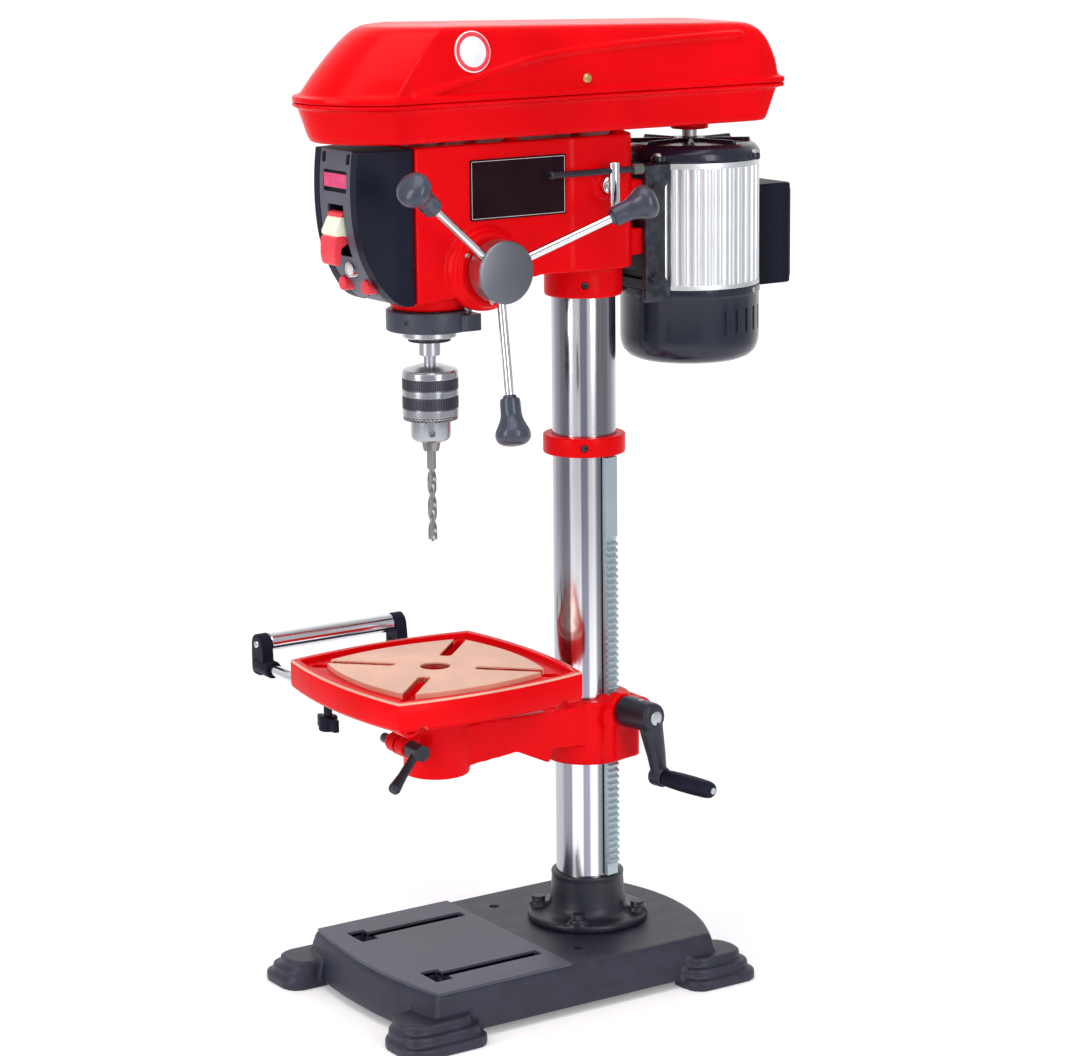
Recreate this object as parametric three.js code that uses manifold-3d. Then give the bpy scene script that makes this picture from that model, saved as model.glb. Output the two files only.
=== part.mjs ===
import * as THREE from 'three';
import { mergeVertices } from 'three/addons/utils/BufferGeometryUtils.js';
import initManifold from 'manifold-3d';

// Bench drill press. Millimetres, +Z up, -Y is the operator's side.
// The column axis stands at (COLUMN_X, COLUMN_Y); the origin is on the bench
// under the middle of the whole machine.

const kernel = await initManifold();
kernel.setup();
const { Manifold, Mesh: SolidMesh } = kernel;

// ---- driving dimensions -------------------------------------------------
const COLUMN_X = 27;
const COLUMN_Y = 34.5;
const GAP = 0.3;

const BASE_TOP = 45;
const BASE_HALF = 110.7;
const BASE_FRONT = -238;
const BASE_REAR = 64;

const COLUMN_R = 30;
const COLUMN_TOP = 745;
const HOLDER_TOP = 93;
const COLLAR_Z = 502;

const GEAR_AZIMUTH = THREE.MathUtils.degToRad(10);
const RACK_IN = 30.5;
const RACK_OUT = 38;
const RACK_PITCH = 6.3;
const RACK_TEETH = 50;

const BRACKET_LOW = 207;
const BRACKET_HIGH = 268;
const CRANK_Z = 260;
const CRANK_ARM = 60;

const SPINDLE_Y = -168;
const TABLE_HALF = 98;
const TABLE_TOP = 319.3;
const TABLE_UNDER = 297;
const ROD_Z = 290;
const ROD_OFFSET = 75;
const ROLLER_X = -195;

const HEAD_TOP = 801;
const HEAD_HALF = 45;
const HEAD_FRONT = -207;
const FEED_Y = -137;
const FEED_Z = 690;
const FEED_RADIUS = 130;

const PAN_LOW = 806;
const HOOD_SPLIT = 841;
const HOOD_TOP = 905;
const HOOD_DROP = 9;
const HINGE_X = -79;
const MOTOR_Y = 122;
const IDLER_Y = -24;

// ---- materials ----------------------------------------------------------
function finish(name, color, metalness, roughness) {
  const material = new THREE.MeshStandardMaterial({ color, metalness, roughness });
  material.name = name;
  return material;
}

const RED = finish('red_enamel', 0xd80e12, 0.1, 0.35);
const IRON = finish('dark_iron_paint', 0x3b4046, 0.3, 0.6);
const BLACK = finish('black_paint', 0x1c1d21, 0.2, 0.5);
const PLASTIC = finish('black_plastic', 0x24252b, 0.0, 0.55);
const GREY = finish('grey_plastic', 0x4a4f57, 0.0, 0.4);
const STEEL = finish('steel', 0xb9bdc2, 0.9, 0.35);
const CHROME = finish('chrome', 0xdde0e4, 1.0, 0.12);
const ALLOY = finish('alloy', 0xe2e5e8, 0.85, 0.4);
const RUBBER = finish('rubber', 0x17171a, 0.0, 0.85);
const SIGNAL = finish('signal_red_plastic', 0xd8222c, 0.0, 0.35);
const PALE = finish('pale_plastic', 0xeeeeea, 0.0, 0.35);

// ---- solid helpers ------------------------------------------------------
function toSolid(geometry) {
  const bare = geometry.index ? geometry.toNonIndexed() : geometry.clone();
  bare.deleteAttribute('normal');
  bare.deleteAttribute('uv');
  const welded = mergeVertices(bare, 1e-3);
  const kept = [];
  const index = welded.index.array;
  for (let i = 0; i < index.length; i += 3) {
    const [a, b, c] = [index[i], index[i + 1], index[i + 2]];
    if (a !== b && b !== c && c !== a) kept.push(a, b, c);
  }
  return Manifold.ofMesh(new SolidMesh({
    numProp: 3,
    vertProperties: new Float32Array(welded.attributes.position.array),
    triVerts: new Uint32Array(kept),
  }));
}

function fromSolid(solid) {
  const mesh = solid.getMesh();
  const indexed = new THREE.BufferGeometry();
  indexed.setAttribute('position', new THREE.BufferAttribute(mesh.vertProperties, 3));
  indexed.setIndex(new THREE.BufferAttribute(mesh.triVerts, 1));
  return indexed;
}

function join(...geometries) {
  let solid = toSolid(geometries[0]);
  for (const geometry of geometries.slice(1)) solid = solid.add(toSolid(geometry));
  return fromSolid(solid);
}

function cut(body, ...tools) {
  let solid = toSolid(body);
  for (const tool of tools) solid = solid.subtract(toSolid(tool));
  return fromSolid(solid);
}

function common(a, b) {
  return fromSolid(toSolid(a).intersect(toSolid(b)));
}

function piece(name, geometry, material) {
  const flat = geometry.index ? geometry.toNonIndexed() : geometry;
  flat.computeVertexNormals();
  const mesh = new THREE.Mesh(flat, material);
  mesh.name = name;
  return mesh;
}

// ---- shape helpers ------------------------------------------------------
function box(x0, x1, y0, y1, z0, z1) {
  const block = new THREE.BoxGeometry(x1 - x0, y1 - y0, z1 - z0);
  return block.translate((x0 + x1) / 2, (y0 + y1) / 2, (z0 + z1) / 2);
}

// A turned body about a vertical axis; profile is [radius, z] from bottom to top.
function turned(profile, x, y, sides = 20) {
  const points = profile.map(([r, z]) => new THREE.Vector2(r, z));
  return new THREE.LatheGeometry(points, sides).rotateX(Math.PI / 2).translate(x, y, 0);
}

function rod(r, z0, z1, x, y, sides = 20) {
  return turned([[0, z0], [r, z0], [r, z1], [0, z1]], x, y, sides);
}

function ring(rIn, rOut, z0, z1, x, y, sides = 20) {
  const profile = [[rIn, z0], [rOut, z0], [rOut, z1], [rIn, z1], [rIn, z0]];
  return turned(profile, x, y, sides);
}

// The same turned bodies laid along +X or +Y.
function turnedX(profile, y, z, sides = 14) {
  return turned(profile, 0, 0, sides).rotateY(Math.PI / 2).translate(0, y, z);
}

function rodX(r, x0, x1, y, z, sides = 14) {
  return turnedX([[0, x0], [r, x0], [r, x1], [0, x1]], y, z, sides);
}

function turnedY(profile, x, z, sides = 14) {
  return turned(profile, 0, 0, sides).rotateX(-Math.PI / 2).translate(x, 0, z);
}

function rodY(r, y0, y1, x, z, sides = 14) {
  return turnedY([[0, y0], [r, y0], [r, y1], [0, y1]], x, z, sides);
}

// A straight round bar between two points.
function bar(from, to, r0, r1, sides = 16) {
  const a = new THREE.Vector3(...from);
  const b = new THREE.Vector3(...to);
  const along = b.clone().sub(a);
  const turn = new THREE.Quaternion().setFromUnitVectors(
    new THREE.Vector3(0, 0, 1), along.clone().normalize());
  const profile = [[0, 0], [r0, 0], [r1, along.length()], [0, along.length()]];
  return turned(profile, 0, 0, sides).applyQuaternion(turn).translate(...from);
}

function shapeOf(points) {
  return new THREE.Shape(points.map(([x, y]) => new THREE.Vector2(x, y)));
}

// A flat outline in XY raised from z0 to z1.
function plate(points, z0, z1) {
  const settings = { depth: z1 - z0, bevelEnabled: false, curveSegments: 8 };
  return new THREE.ExtrudeGeometry(shapeOf(points), settings).translate(0, 0, z0);
}

// A side profile of [y, z] points carried from x0 to x1.
function sideProfile(points, x0, x1) {
  return plate(points, 0, x1 - x0)
    .applyMatrix4(new THREE.Matrix4().set(
      0, 0, 1, x0,
      1, 0, 0, 0,
      0, 1, 0, 0,
      0, 0, 0, 1));
}

// Outlines with equal point counts skinned into one closed body.
function skin(levels) {
  const count = levels[0].points.length;
  const vertices = [];
  for (const { points, z } of levels) for (const [x, y] of points) vertices.push(x, y, z);
  const index = [];
  for (let k = 0; k + 1 < levels.length; k++) {
    for (let i = 0; i < count; i++) {
      const a = k * count + i;
      const b = k * count + (i + 1) % count;
      index.push(a, b, b + count, a, b + count, a + count);
    }
  }
  addCap(index, levels[0].points, 0, true);
  addCap(index, levels.at(-1).points, (levels.length - 1) * count, false);
  const body = new THREE.BufferGeometry();
  body.setAttribute('position', new THREE.Float32BufferAttribute(vertices, 3));
  body.setIndex(index);
  return body;
}

function addCap(index, points, start, flipped) {
  const contour = points.map(([x, y]) => new THREE.Vector2(x, y));
  for (const [a, b, c] of THREE.ShapeUtils.triangulateShape(contour, [])) {
    if (flipped) index.push(start + a, start + c, start + b);
    else index.push(start + a, start + b, start + c);
  }
}

// Counter-clockwise rectangle with rounded corners.
function roundedRect(x0, x1, y0, y1, r, steps = 3) {
  const corners = [[x1 - r, y0 + r, -90], [x1 - r, y1 - r, 0], [x0 + r, y1 - r, 90], [x0 + r, y0 + r, 180]];
  const points = [];
  for (const [cx, cy, start] of corners) {
    for (let i = 0; i <= steps; i++) {
      const a = THREE.MathUtils.degToRad(start + 90 * i / steps);
      points.push([cx + r * Math.cos(a), cy + r * Math.sin(a)]);
    }
  }
  return points;
}

// Rectangle whose front and rear edges bow outward.
function bowed(half, front, rear, bowFront, bowRear, steps = 8) {
  const points = [];
  for (let i = 0; i <= steps; i++) {
    const t = -1 + 2 * i / steps;
    points.push([half * t, front - bowFront * (1 - t * t)]);
  }
  for (let i = 0; i <= steps; i++) {
    const t = 1 - 2 * i / steps;
    points.push([half * t, rear + bowRear * (1 - t * t)]);
  }
  return points;
}

// Square whose four edges bow outward, used for the table.
function bowedSquare(half, bow, cy, steps = 5) {
  const points = [];
  for (let side = 0; side < 4; side++) {
    const a = side * Math.PI / 2;
    for (let i = 0; i < steps; i++) {
      const t = -1 + 2 * i / steps;
      const u = half + bow * (1 - t * t);
      const v = half * t;
      points.push([u * Math.cos(a) - v * Math.sin(a), cy + u * Math.sin(a) + v * Math.cos(a)]);
    }
  }
  return points;
}

function aboutColumn(geometry, angle) {
  return geometry.rotateZ(angle);
}

// ---- base ---------------------------------------------------------------
function footBlock(sx, y0, y1) {
  const tier = (inset, z0, z1) => plate(
    roundedRect(79 + inset * 0.2, 141 - inset, y0 + inset, y1 - inset, 14), z0, z1);
  const foot = join(tier(0, 0, 11), tier(9, 10, 20), tier(20, 19, 24));
  return sx > 0 ? foot : fromSolid(toSolid(foot).mirror([1, 0, 0]));
}

function baseShell() {
  const outer = skin([
    { points: bowed(119, -247, 72, 12, 33), z: 7 },
    { points: bowed(118, -246, 71, 12, 33), z: 16 },
    { points: bowed(BASE_HALF + 1.5, BASE_FRONT - 2, BASE_REAR + 2, 12, 33), z: 41 },
    { points: bowed(BASE_HALF, BASE_FRONT, BASE_REAR, 12, 33), z: BASE_TOP },
  ]);
  const hollow = skin([
    { points: bowed(108, -236, 61, 12, 33), z: -1 },
    { points: bowed(101, -229, 55, 12, 33), z: BASE_TOP - 11 },
  ]);
  const feet = [];
  for (const sx of [1, -1]) {
    feet.push(footBlock(sx, -285, -197));
    feet.push(footBlock(sx, 27, 105));
  }
  return join(cut(outer, hollow), ...feet);
}

function baseSlot(x) {
  const stem = box(x - 6, x + 6, -205, -101, 20, 60);
  const head = box(x - 15, x + 15, -222, -204, 20, 60);
  return join(stem, head);
}

function makeBase() {
  const shell = baseShell();
  const workPad = plate(bowed(109.8, BASE_FRONT + 1, -92, 12, 0), BASE_TOP - 3, BASE_TOP + 2.5);
  const boss = rod(64, BASE_TOP - 12, BASE_TOP, 0, 0);
  const ribs = [box(-4, 4, -230, 80, 12, 24), box(-110, 110, -4, 4, 12, 24)];
  const holes = [rod(5, 20, 60, -74, -60, 14), rod(5, 20, 60, 74, -60, 14)];
  const body = join(shell, workPad, boss, ...ribs);
  return piece('base', cut(body, baseSlot(-67), baseSlot(67), ...holes), IRON);
}

// ---- column -------------------------------------------------------------
function makeHolder() {
  const low = BASE_TOP + GAP;
  const flange = [[0, low], [58, low], [58, 53], [56, 55.5], [40, 57], [36, 60], [33.6, HOLDER_TOP - 1]];
  const body = turned([...flange, [32.8, HOLDER_TOP], [0, HOLDER_TOP]], 0, 0, 24);
  return piece('column_holder', cut(body, rod(COLUMN_R + GAP, 0, 200, 0, 0, 24)), BLACK);
}

function makeColumn() {
  const tube = ring(26, COLUMN_R, BASE_TOP + GAP, COLUMN_TOP, 0, 0, 24);
  return piece('column_tube', tube, CHROME);
}

function rackProfile() {
  const points = [[RACK_IN, HOLDER_TOP + 1], [35.2, HOLDER_TOP + 1], [35.2, 104]];
  for (let i = 0; i < RACK_TEETH; i++) {
    const z = 106 + i * RACK_PITCH;
    points.push([35.2, z], [RACK_OUT, z + 1.6], [RACK_OUT, z + 3.6], [35.2, z + 5.2]);
  }
  points.push([35.2, 423], [RACK_OUT - 1, 425], [RACK_OUT - 1, COLLAR_Z - 0.5], [RACK_IN, COLLAR_Z - 0.5]);
  return points;
}

function makeRack() {
  const upright = plate(rackProfile(), -7, 7).rotateX(Math.PI / 2);
  return piece('column_rack', aboutColumn(upright, GEAR_AZIMUTH), STEEL);
}

function makeCollar() {
  const body = turned([
    [0, COLLAR_Z], [37.6, COLLAR_Z], [38.7, COLLAR_Z + 1.2], [38.7, 518], [37, 520], [0, 520]], 0, 0, 24);
  const screwHole = rodX(3.6, 34, 50, 0, 511, 12).rotateZ(-0.6);
  return piece('rack_collar', cut(body, rod(COLUMN_R + GAP, 480, 540, 0, 0, 24), screwHole), RED);
}

// ---- table bracket ------------------------------------------------------
function columnSleeve() {
  return turned([
    [0, BRACKET_LOW], [39.5, BRACKET_LOW], [42, BRACKET_LOW + 3], [42, BRACKET_HIGH - 2],
    [40.5, BRACKET_HIGH], [0, BRACKET_HIGH]], 0, 0, 24);
}

function gearHousing() {
  const block = plate(roundedRect(30, 50, -19, 26, 8), BRACKET_LOW + 4, BRACKET_HIGH - 12);
  const boss = rodX(21, 28, 47, 0, CRANK_Z - 6);
  const collar = rodX(16.5, 40, 51, 0, CRANK_Z);
  return aboutColumn(join(block, boss, collar), GEAR_AZIMUTH);
}

function bracketArm() {
  const side = [[-20, 208], [-20, 266], [-142, 266], [-160, 262], [-160, 219], [-120, 219]];
  const upper = skin([
    { points: [[-24, -160], [24, -160], [37, -8], [-37, -8]], z: 200 },
    { points: [[-24, -160], [24, -160], [37, -8], [-37, -8]], z: 270 },
  ]);
  return common(sideProfile(side, -45, 45), upper);
}

function rearLugs() {
  return join(box(-17, 17, 30, 56, 228, 258), rodX(12, -17, 17, 54, 246, 20));
}

function frontLugs() {
  return join(box(-16, 16, -207, -190, 236, 262), rodX(9, -16, 16, -206, 250, 20));
}

function makeBracket() {
  const stemSleeve = turned([
    [0, 218], [29, 218], [31, 220], [31, 270], [30, 272], [0, 272]], 0, SPINDLE_Y, 20);
  const solid = join(columnSleeve(), gearHousing(), bracketArm(), stemSleeve, rearLugs(), frontLugs());
  const rackSlot = aboutColumn(box(20, RACK_OUT + 0.6, -7.4, 7.4, 190, 290), GEAR_AZIMUTH);
  const shaftBore = aboutColumn(rodX(7.3, 36, 70, 0, CRANK_Z), GEAR_AZIMUTH);
  const bores = [
    rod(COLUMN_R + GAP, 150, 300, 0, 0, 24), rackSlot, shaftBore,
    rod(20.3, 200, 300, 0, SPINDLE_Y, 20),
    box(-1.6, 1.6, 20, 80, 190, 290), box(-1.6, 1.6, -230, -185, 190, 290),
    rodX(5.3, -30, 30, 54, 246, 12), rodX(5.3, -30, 30, -206, 250, 12)];
  return piece('table_bracket', cut(solid, ...bores), RED);
}

// Clamp bolts along X, each with a drop lever on its head.
function makeTableLock() {
  const shank = rodX(5, -22, 30, -206, 250, 12);
  const head = rodX(8.5, 16.4, 38, -206, 250, 6);
  const lever = bar([29, -206, 250], [44, -242, 222], 4.2, 3.4, 10);
  const grip = bar([38.4, -228.5, 232.5], [44, -242, 222], 5.2, 6, 12);
  return piece('table_lock_lever', join(shank, head, lever, grip), BLACK);
}

function makeColumnLock() {
  const shank = rodX(5, -30, 22, 54, 246, 12);
  const head = rodX(8.5, -40, -17.4, 54, 246, 6);
  const lever = bar([-32, 54, 246], [-48, 98, 219], 4.2, 3.4, 10);
  const grip = bar([-42, 81.5, 229.1], [-48, 98, 219], 5.2, 6, 12);
  return piece('column_lock_lever', join(shank, head, lever, grip), BLACK);
}

// ---- crank --------------------------------------------------------------
function crankTip() {
  return new THREE.Vector3(86, 12, CRANK_Z - CRANK_ARM);
}

function makeCrank() {
  const shaft = rodX(6.8, 40, 60, 0, CRANK_Z);
  const hub = turnedX([[0, 52], [13.5, 52], [15, 54], [14, 90], [12, 93.5], [0, 93.5]], 0, CRANK_Z);
  const tip = crankTip();
  const arm = bar([85, 0, CRANK_Z], [tip.x, tip.y, tip.z], 11, 7.2, 16);
  const eye = rodX(9.5, 79, 94, tip.y, tip.z);
  const gripBore = rodX(4.3, 70, 120, tip.y, tip.z, 12);
  const body = cut(join(shaft, hub, arm, eye), gripBore);
  return piece('crank', aboutColumn(body, GEAR_AZIMUTH), BLACK);
}

function makeCrankGrip() {
  const tip = crankTip();
  const pin = rodX(4, 78, 100, tip.y, tip.z, 12);
  const grip = turnedX([
    [0, 94.4], [7.6, 94.4], [8.4, 98], [8.8, 120], [8.4, 150], [6, 155], [0, 156]], tip.y, tip.z, 14);
  return piece('crank_grip', aboutColumn(join(pin, grip), GEAR_AZIMUTH), PLASTIC);
}

// ---- table --------------------------------------------------------------
function tableShell() {
  const outer = skin([
    { points: bowedSquare(TABLE_HALF - 3, 6, SPINDLE_Y), z: TABLE_UNDER },
    { points: bowedSquare(TABLE_HALF, 6, SPINDLE_Y), z: TABLE_UNDER + 5 },
    { points: bowedSquare(TABLE_HALF, 6, SPINDLE_Y), z: TABLE_TOP - 1.2 },
    { points: bowedSquare(TABLE_HALF - 1.2, 6, SPINDLE_Y), z: TABLE_TOP },
  ]);
  const under = plate(bowedSquare(TABLE_HALF - 9, 5, SPINDLE_Y), TABLE_UNDER - 1, TABLE_TOP - 13);
  const gutter = cut(
    plate(bowedSquare(TABLE_HALF - 7, 6, SPINDLE_Y), TABLE_TOP - 5, TABLE_TOP + 1),
    plate(roundedRect(-83, 83, SPINDLE_Y - 83, SPINDLE_Y + 83, 10), TABLE_TOP - 8, TABLE_TOP + 2));
  return cut(outer, under, gutter);
}

function tableSlot(quarter) {
  const slot = join(box(44, 112, -6, 6, 290, 330), rod(6, 290, 330, 44, 0, 12), rod(6, 290, 330, 112, 0, 12));
  return slot.rotateZ(Math.PI / 4 + quarter * Math.PI / 2).translate(0, SPINDLE_Y, 0);
}

function rodLug(x, y) {
  return join(box(x - 10, x + 10, y - 10, y + 10, 278, 308), rodX(10, x - 10, x + 10, y, ROD_Z, 14));
}

function makeTable() {
  const stem = turned([[0, 222], [19, 222], [20, 223], [20, 274], [31, 274], [34, 300], [34, 308], [0, 308]],
    0, SPINDLE_Y);
  const ribs = [box(-90, 90, SPINDLE_Y - 3, SPINDLE_Y + 3, 299, 308),
    box(-3, 3, SPINDLE_Y - 90, SPINDLE_Y + 90, 299, 308)];
  const lugs = [];
  for (const x of [-70, 70]) {
    for (const side of [-1, 1]) lugs.push(rodLug(x, SPINDLE_Y + side * ROD_OFFSET));
  }
  const body = join(tableShell(), stem, ...ribs, ...lugs);
  const bores = [-1, 1].map((side) => rodX(5.8, -120, 120, SPINDLE_Y + side * ROD_OFFSET, ROD_Z));
  const screwBores = [-1, 1].map((side) => rod(4.3, 270, 286, -70, SPINDLE_Y + side * ROD_OFFSET, 12));
  const slots = [0, 1, 2, 3].map(tableSlot);
  const centre = rod(14, 200, 330, 0, SPINDLE_Y, 24);
  return piece('table', cut(body, ...bores, ...screwBores, ...slots, centre), RED);
}

// ---- roller extension ---------------------------------------------------
function rollerY(side) {
  return SPINDLE_Y + side * ROD_OFFSET;
}

function makeRollerRod(name, side) {
  return piece(name, rodX(5.5, ROLLER_X + 7, 84, rollerY(side), ROD_Z, 14), CHROME);
}

function makeRollerEnd(name, side) {
  const y = rollerY(side);
  const plateShape = [[ROLLER_X - 10, 284], [ROLLER_X + 8, 282], [ROLLER_X + 12, 296], [ROLLER_X + 9, 318],
    [ROLLER_X - 2, 323], [ROLLER_X - 11, 316]];
  const slab = plate(plateShape, 0, 12).rotateX(Math.PI / 2).translate(0, y + 6, 0);
  const socket = rodX(8.5, ROLLER_X - 6, ROLLER_X + 22, y, ROD_Z, 14);
  const rodBore = rodX(5.5 + GAP, ROLLER_X + 6.5, ROLLER_X + 40, y, ROD_Z, 14);
  const pinBore = rodY(4.3, Math.min(y, y - side * 7), Math.max(y, y - side * 7), ROLLER_X, 312, 12);
  return piece(name, cut(join(slab, socket), rodBore, pinBore), PLASTIC);
}

function makeRoller() {
  const y0 = SPINDLE_Y - ROD_OFFSET + 6.4;
  const y1 = SPINDLE_Y + ROD_OFFSET - 6.4;
  const profile = [[0, y0 - 5], [4, y0 - 5], [4, y0], [9, y0 + 0.2], [9, y1 - 0.2], [4, y1], [4, y1 + 5], [0, y1 + 5]];
  return piece('roller', turnedY(profile, ROLLER_X, 312, 20), CHROME);
}

function makeRollerKnob(name, side) {
  const y = rollerY(side);
  const stud = rod(4, 262, 284.2, -70, y, 12);
  const body = turned([[0, 254], [8, 254], [9, 256], [9, 267], [7, 269], [0, 269]], -70, y, 14);
  const wings = plate(roundedRect(-87, -53, y - 3.5, y + 3.5, 3.4, 3), 255, 266);
  return piece(name, join(stud, body, wings), PLASTIC);
}

// ---- head ---------------------------------------------------------------
function headPlan() {
  const rear = [];
  for (let i = 0; i <= 10; i++) {
    const a = Math.PI * i / 10;
    rear.push([44 * Math.cos(a), 14 + 27 * Math.sin(a)]);
  }
  return [[-HEAD_HALF, HEAD_FRONT], [HEAD_HALF, HEAD_FRONT], [HEAD_HALF, -43], [46.5, -40], ...rear,
    [-46.5, -40], [-HEAD_HALF, -43]];
}

function headSide() {
  return [[HEAD_FRONT, 662], [-156, 667], [-75, 679], [60, 677], [60, HEAD_TOP], [HEAD_FRONT, HEAD_TOP]];
}

function headBody() {
  const casting = common(sideProfile(headSide(), -60, 60), plate(headPlan(), 600, 900));
  const collar = turned([[0, 650.4], [35.5, 650.4], [36.5, 651.4], [36.5, 690], [0, 690]], 0, 0, 24);
  const quillBoss = turned([[0, 656], [33, 656], [35, 658], [36, 690], [0, 690]], 0, SPINDLE_Y, 24);
  const feedBoss = turnedX([[0, 40], [38.5, 40], [37, 50], [34, 52], [33, 57.5], [0, 57.5]], FEED_Y, FEED_Z, 20);
  const tensionBoss = rodX(12, 40, 50, -6, 757, 14);
  const risers = [-100, 16].flatMap((y) => [-34, 34].map((x) => rod(6, 795, PAN_LOW - GAP, x, y, 8)));
  const bracketPads = [700, 745].map((z) => box(-35.5, 35.5, 20, 44, z - 12, z + 12));
  return join(casting, collar, quillBoss, feedBoss, tensionBoss, ...risers, ...bracketPads);
}

function makeHead() {
  const bores = [
    rod(COLUMN_R + GAP, 600, COLUMN_TOP + 2, 0, 0, 24),
    rod(24.9, 600, 775, 0, SPINDLE_Y, 24),
    rod(19, 770, 820, 0, SPINDLE_Y, 24),
    rodX(11.8, -30, 30, FEED_Y, FEED_Z, 20),
    rodX(8.3, 20, 70, FEED_Y, FEED_Z, 20),
    rod(3.4, 600, 760, 31, SPINDLE_Y + 20, 12),
    rodX(6.3, 30, 60, -6, 757, 14),
    rod(6.3, 784.7, 820, 0, IDLER_Y, 14),
    rodX(3.6, 30, 50, 0, 663, 12).rotateZ(-0.55)];
  return piece('head_casting', cut(headBody(), ...bores), RED);
}

// ---- switch box ---------------------------------------------------------
function switchSide() {
  return [[-207.4, 662], [-219, 662], [-230, 667], [-243, 683], [-253, 702], [-260, 724], [-263, 753],
    [-262.5, 780], [-260, 800.5], [-207.4, 800.5]];
}

function makeSwitchBox() {
  const plan = plate([[-45, -207.4], [-44, -232], [-33, -270], [33, -270], [44, -232], [45, -207.4]], 600, 900);
  const body = common(sideProfile(switchSide(), -60, 60), plan);
  const display = box(-20, 20, -275, -259.5, 763, 782);
  const recess = box(-13.5, 13.5, -275, -240, 706, 752);
  const screws = [-24, 24].map((x) => rodY(3.5, -275, -258, x, 793, 14));
  const buttons = [[4, 694, 7.2], [-19, 679, 6.8], [20, 679, 6.8]].map(
    ([x, z, r]) => rodY(r, -262, -226, x, z, 14));
  return piece('switch_box', cut(body, display, recess, ...screws, ...buttons), PLASTIC);
}

function makeDisplay() {
  return piece('display_window', box(-19.7, 19.7, -262.4, -259.8, 763.3, 781.7), SIGNAL);
}

function makePaddle() {
  const profile = [[-244, 744], [-261, 744], [-269, 736], [-272, 722], [-270, 700], [-264, 698], [-262, 716],
    [-244, 722]];
  const lever = sideProfile(profile, -12.5, 12.5);
  return piece('switch_paddle', lever, SIGNAL);
}

function makeButton(name, x, z, r, front, material) {
  const cap = turnedY([[0, front], [r - 1.2, front], [r, front + 1.2], [r, -231], [0, -231]], x, z, 14);
  return piece(name, cap, material);
}

// ---- quill and chuck ----------------------------------------------------
function makeQuill() {
  const sleeve = turned([[0, 626], [23.6, 626], [24.6, 627], [24.6, 748], [0, 748]], 0, SPINDLE_Y, 24);
  const rackFlat = box(-9.5, 9.5, SPINDLE_Y + 19.2, SPINDLE_Y + 30, 655, 760);
  return piece('quill', cut(sleeve, rackFlat, rod(10, 600, 760, 0, SPINDLE_Y)), STEEL);
}

function makeDepthCollar() {
  const body = turned([[0, 633], [38, 633], [39, 634], [39, 651], [38, 652], [0, 652]], 0, SPINDLE_Y, 24);
  const ear = plate(roundedRect(18, 42, SPINDLE_Y + 10, SPINDLE_Y + 31, 5), 634, 649);
  const bore = rod(24.9, 600, 700, 0, SPINDLE_Y, 24);
  const rodBore = rod(3.2, 640, 660, 31, SPINDLE_Y + 20, 12);
  return piece('depth_collar', cut(join(body, ear), bore, rodBore), GREY);
}

function makeDepthRod() {
  return piece('depth_rod', rod(2.9, 640.4, 735, 31, SPINDLE_Y + 20, 12), STEEL);
}

function makeSpindle() {
  return piece('spindle', turned([
    [0, 596.5], [5.4, 596.5], [5.7, 609], [9.7, 609.5], [9.7, 800], [8, 801], [8, 864], [7, 865], [0, 865]],
    0, SPINDLE_Y, 20), STEEL);
}

function makeChuckBody() {
  const body = turned([
    [0, 556], [23, 556], [25.6, 559], [25.6, 591], [23.5, 594], [12, 600.5], [0, 600.5]], 0, SPINDLE_Y, 20);
  const taper = turned([[0, 590], [5.9, 590], [5.9, 610], [0, 610]], 0, SPINDLE_Y, 20);
  const core = rod(10.3, 540, 580, 0, SPINDLE_Y, 20);
  return piece('chuck_body', cut(body, taper, core), STEEL);
}

function makeChuckSleeve() {
  const body = turned([
    [0, 531], [16, 531], [18, 534], [18.2, 546], [25.2, 551], [25.2, 555.6], [0, 555.6]], 0, SPINDLE_Y, 20);
  const keyHoles = [0, 1, 2].map((k) => rodX(3, 14, 24, 0, 540, 12)
    .rotateZ(k * Math.PI * 2 / 3 - 0.5).translate(0, SPINDLE_Y, 0));
  return piece('chuck_sleeve', cut(body, rod(10.3, 500, 600, 0, SPINDLE_Y, 20), ...keyHoles), CHROME);
}

function makeChuckJaws() {
  const jaws = turned([[0, 520.6], [6.4, 520.6], [8.6, 530], [9.9, 545], [9.9, 570], [0, 570]], 0, SPINDLE_Y, 20);
  return piece('chuck_jaws', cut(jaws, rod(4.5, 500, 566, 0, SPINDLE_Y, 14)), STEEL);
}

function makeDrill() {
  const shank = rod(4.2, 500, 560, 0, SPINDLE_Y, 14);
  const flutes = turned([[0, 436.5], [4.2, 439], [4.2, 501], [0, 501]], 0, SPINDLE_Y, 14);
  return piece('twist_drill', join(shank, flutes), STEEL);
}

// ---- feed handle --------------------------------------------------------
function makeFeedHub() {
  const shaft = rodX(8, -1, 60, FEED_Y, FEED_Z);
  const pinion = rodX(11.4, -9, 9, FEED_Y, FEED_Z, 20);
  const hub = turnedX([
    [0, 58], [24, 58], [25.5, 60], [25.5, 74], [24, 76], [19, 78], [17, 82.5], [0, 82.5]], FEED_Y, FEED_Z, 20);
  const sockets = [0, 1, 2].map((k) => feedBar(k, 12, 60, 4.3));
  return piece('feed_hub', cut(join(shaft, pinion, hub), ...sockets), CHROME);
}

function feedPoint(k, radius) {
  const a = THREE.MathUtils.degToRad(143.7 - 120 * k);
  const x = 69 + (radius / FEED_RADIUS) * 41;
  return [x, FEED_Y + radius * Math.cos(a), FEED_Z + radius * Math.sin(a)];
}

function feedBar(k, r0, r1, radius) {
  return bar(feedPoint(k, r0), feedPoint(k, r1), radius, radius, 14);
}

function makeFeedArm(k) {
  return piece(`feed_arm_${k + 1}`, feedBar(k, 13, FEED_RADIUS - 6, 4), CHROME);
}

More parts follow.
